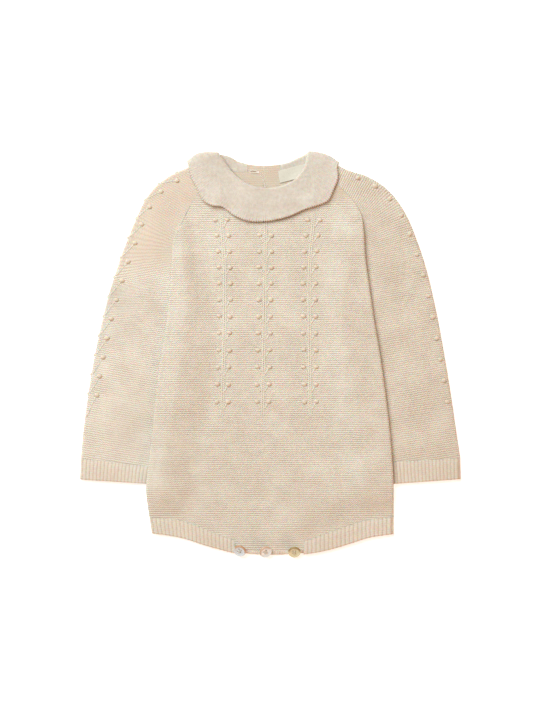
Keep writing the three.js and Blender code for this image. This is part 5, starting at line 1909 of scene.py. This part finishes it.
@dataclass
class BackOpening:
    """The slit down the back's middle and the buttonhole beside it, with their sewn edges."""

    hole_left: float = -15.0
    hole_right: float = -7.0
    hole_y: float = 182.3
    hole_slit: float = 0.35
    hole_end: tuple[float, float] = (2.6, 1.61)  # size of the wider end that the thread has drawn open
    seam_top: tuple[float, float] = (-5.5, 180.4)
    seam_end: tuple[float, float] = (0.2, 167.6)

    def box(self, x: float, y: float, width: float, length: float) -> bpy.types.Object:
        """A cutter that goes through the back.

        Args:
            x: its middle across.
            y: its middle along.
            width: its size across.
            length: its size along.

        Returns:
            The cutter.
        """
        bm = bmesh.new()
        size = Matrix.Diagonal((width * MM, length * MM, 30 * MM, 1))
        bmesh.ops.create_cube(bm, size=1, matrix=Matrix.Translation(Vector((x, y, 0)) * MM) @ size)
        return finished("cutter", bm)

    def open(self, back: bpy.types.Object) -> None:
        """Cuts the slit and the buttonhole.

        Args:
            back: the back panel.
        """
        middle = (self.hole_left + self.hole_right) / 2
        wide, high = self.hole_end
        for box in (
            self.box(SLIT_X, (SLIT_END + SLIT_TOP) / 2, SLIT_WIDTH, SLIT_TOP - SLIT_END),
            self.box(middle, self.hole_y, self.hole_right - self.hole_left, self.hole_slit),
            self.box(self.hole_right - wide / 2, self.hole_y, wide, high),
        ):
            cut(back, box)

    def stitches(self, wardrobe: Wardrobe) -> bpy.types.Object:
        """Whipped stitches round the buttonhole and along the button band's edge.

        Args:
            wardrobe: the finishes.

        Returns:
            The stitches.
        """
        made = []
        top = CLOTH.under_collar + CLOTH.wall
        for x in np.arange(self.hole_left - 0.6, self.hole_right + 0.7, 0.95):
            for side in (-1, 1):
                y = self.hole_y + side * np.linspace(0.65, 1.9, 5)
                z = top + 0.1 + 0.3 * np.sin(np.linspace(0, np.pi, 5))
                made.append(slip(np.stack([np.full(5, x), y, z], axis=-1), 0.42, 0.8))
        for t in np.linspace(0, 1, 10):
            x, y = mix(np.array(self.seam_top), np.array(self.seam_end), t)
            run = np.linspace(-0.55, 0.55, 4)
            line = np.stack([x + 0.4 * run, y - run, np.full(4, top + 0.22)], axis=-1)
            made.append(slip(line, 0.62, 0.8))
        return dress(joined("back_stitches", made), wardrobe.thread, Slot.WOOL)


def cut(piece: bpy.types.Object, cutter: bpy.types.Object) -> None:
    """Takes a cutter out of a piece.

    Args:
        piece: what is cut.
        cutter: what is taken out of it, and then removed.
    """
    change = piece.modifiers.new("cut", "BOOLEAN")
    change.operation, change.object, change.solver = "DIFFERENCE", cutter, "EXACT"
    bake(piece)
    bpy.data.objects.remove(cutter)


def bake(piece: bpy.types.Object) -> None:
    """Makes a piece's modifiers part of its mesh.

    Args:
        piece: the piece.
    """
    bpy.context.view_layer.update()
    shown = piece.evaluated_get(bpy.context.evaluated_depsgraph_get())
    mesh = bpy.data.meshes.new_from_object(shown)
    piece.modifiers.clear()
    piece.data = mesh


@dataclass
class Studio:
    """Plain pale floor, soft light from the upper left and a camera straight above."""

    field_height: float = 0.711
    lens: float = 85.0
    sensor: float = 36.0
    centre: tuple[float, float] = (0.0005, -0.0015)
    garment_height: float = 0.006  # the level at which the field is that high
    glow: float = 0.5  # keeps the floor as pale as the photograph's

    def floor(self) -> None:
        """A wide pale floor."""
        bm = bmesh.new()
        bmesh.ops.create_grid(bm, x_segments=1, y_segments=1, size=3.0)
        piece = finished("floor", bm)
        made, graph = new_material("floor_paper")
        solid = graph.add("ShaderNodeTexCoord").outputs["Object"]
        tone = graph.blend(graph.noise(solid, 9.0, 3.0), colour(250, 250, 249), colour(253, 253, 252))
        white = (1.0, 1.0, 1.0, 1.0)
        surface(graph, Base_Color=tone, Roughness=0.9, Emission_Color=white, Emission_Strength=self.glow)
        piece.data.materials.append(made)

    def lamp(self, name: str, place: tuple[float, float, float], size: tuple[float, float], energy: float,
             tint: tuple[float, float, float]) -> None:
        """A soft lamp that faces the garment.

        Args:
            name: its name.
            place: where it stands, in metres.
            size: its width and height.
            energy: its power in watts.
            tint: its colour.
        """
        light = bpy.data.lights.new(name, "AREA")
        light.shape, light.size, light.size_y, light.energy, light.color = "RECTANGLE", *size, energy, tint
        lamp = bpy.data.objects.new(name, light)
        bpy.context.scene.collection.objects.link(lamp)
        at = Vector(place)
        lamp.matrix_world = Matrix.Translation(at) @ (-at).to_track_quat("-Z", "Y").to_matrix().to_4x4()

    def lights(self) -> None:
        """A wide cool window at the upper left, a faint warm fill across from it and a warm surround."""
        world = bpy.data.worlds.new("surround")
        world.use_nodes = True
        surface(Graph(world.node_tree), "ShaderNodeBackground", "ShaderNodeOutputWorld",
                Color=(1.0, 0.76, 0.58, 1.0), Strength=0.44)
        bpy.context.scene.world = world
        self.lamp("window", (-0.8, 1.0, 1.6), (1.5, 1.2), 50.0, (0.82, 0.95, 1.0))
        self.lamp("fill", (1.0, -1.3, 0.55), (1.0, 0.6), 8.0, (1.0, 0.6, 0.4))

    def camera(self) -> None:
        """The camera, looking straight down on the photograph's field."""
        data = bpy.data.cameras.new("camera")
        data.lens, data.sensor_width, data.sensor_fit = self.lens, self.sensor, "AUTO"
        data.clip_end = 20.0
        eye = bpy.data.objects.new("camera", data)
        bpy.context.scene.collection.objects.link(eye)
        eye.location = (*self.centre, self.garment_height + self.field_height * self.lens / self.sensor)
        bpy.context.scene.camera = eye

    def build(self) -> None:
        """Sets the floor, lights and camera."""
        self.floor()
        self.lights()
        self.camera()
        view = bpy.context.scene.view_settings
        view.view_transform, view.look = "Standard", "None"


def main() -> None:
    """Builds the romper piece by piece and the studio round it."""
    logging.basicConfig(level=logging.INFO, format="%(message)s")
    wardrobe = Wardrobe.make()
    front = BodyPanel("front_knit", "front_panel", True, 152, 27, 122, 70)
    back = BodyPanel("back_knit", "back_panel", False, 110, 24, 84, 50, area=0.0765)
    front_piece, back_piece = front.build(wardrobe), back.build(wardrobe)
    opening = BackOpening()
    opening.open(back_piece)
    stitched = opening.stitches(wardrobe)
    pattern = FrontPattern().build(wardrobe)
    sleeves = (
        Sleeve(Side.LEFT, LEFT_SLEEVE, (0.198, 0.31), 0.0438, spine=0.85, inside=8.9, branched=True),
        Sleeve(Side.RIGHT, RIGHT_SLEEVE, (0.198, 0.31), 0.0432, first=1.45, step=1.07, closing=0.003),
    )
    for sleeve in sleeves:
        piece, relief = sleeve.build(wardrobe), sleeve.pattern(wardrobe)
    for sleeve, flat in zip(sleeves, ((0.177, 0.021), (0.178, 0.0215))):
        cuff = Cuff(sleeve.side, flat)
        piece = cuff.build(sleeve.sections[-1], wardrobe)
    for band in (LegBand(Side.LEFT, (0.178, 0.0165)), LegBand(Side.RIGHT, (0.186, 0.018))):
        band.build(wardrobe)
    back_piece.name
    collar = Collar()
    piece = collar.build(wardrobe)
    front_piece.name
    label = Label()
    label.build(wardrobe)
    back_piece.name
    blue, white, olive, plain = wardrobe.pearls
    for button in (
        Button.on_crotch("crotch_button_left", blue, -26.2, -196.5, tilt=30, turn=-25, lift=0.4),
        Button.on_crotch("crotch_button_middle", white, -0.5, -197.5, tilt=31, turn=33, lift=0.5),
        Button.on_crotch("crotch_button_right", olive, 28.3, -197.8, tilt=30, turn=0, lift=-0.2),
        Button(
            "back_button_pearl", "back_button", plain, (BUTTON_X, BUTTON_Y, 1.1), 180, radius=5.6, thick=2.2
        ),
    ):
        button.build(wardrobe)
    Studio().build()


if __name__ == "__main__":
    main()
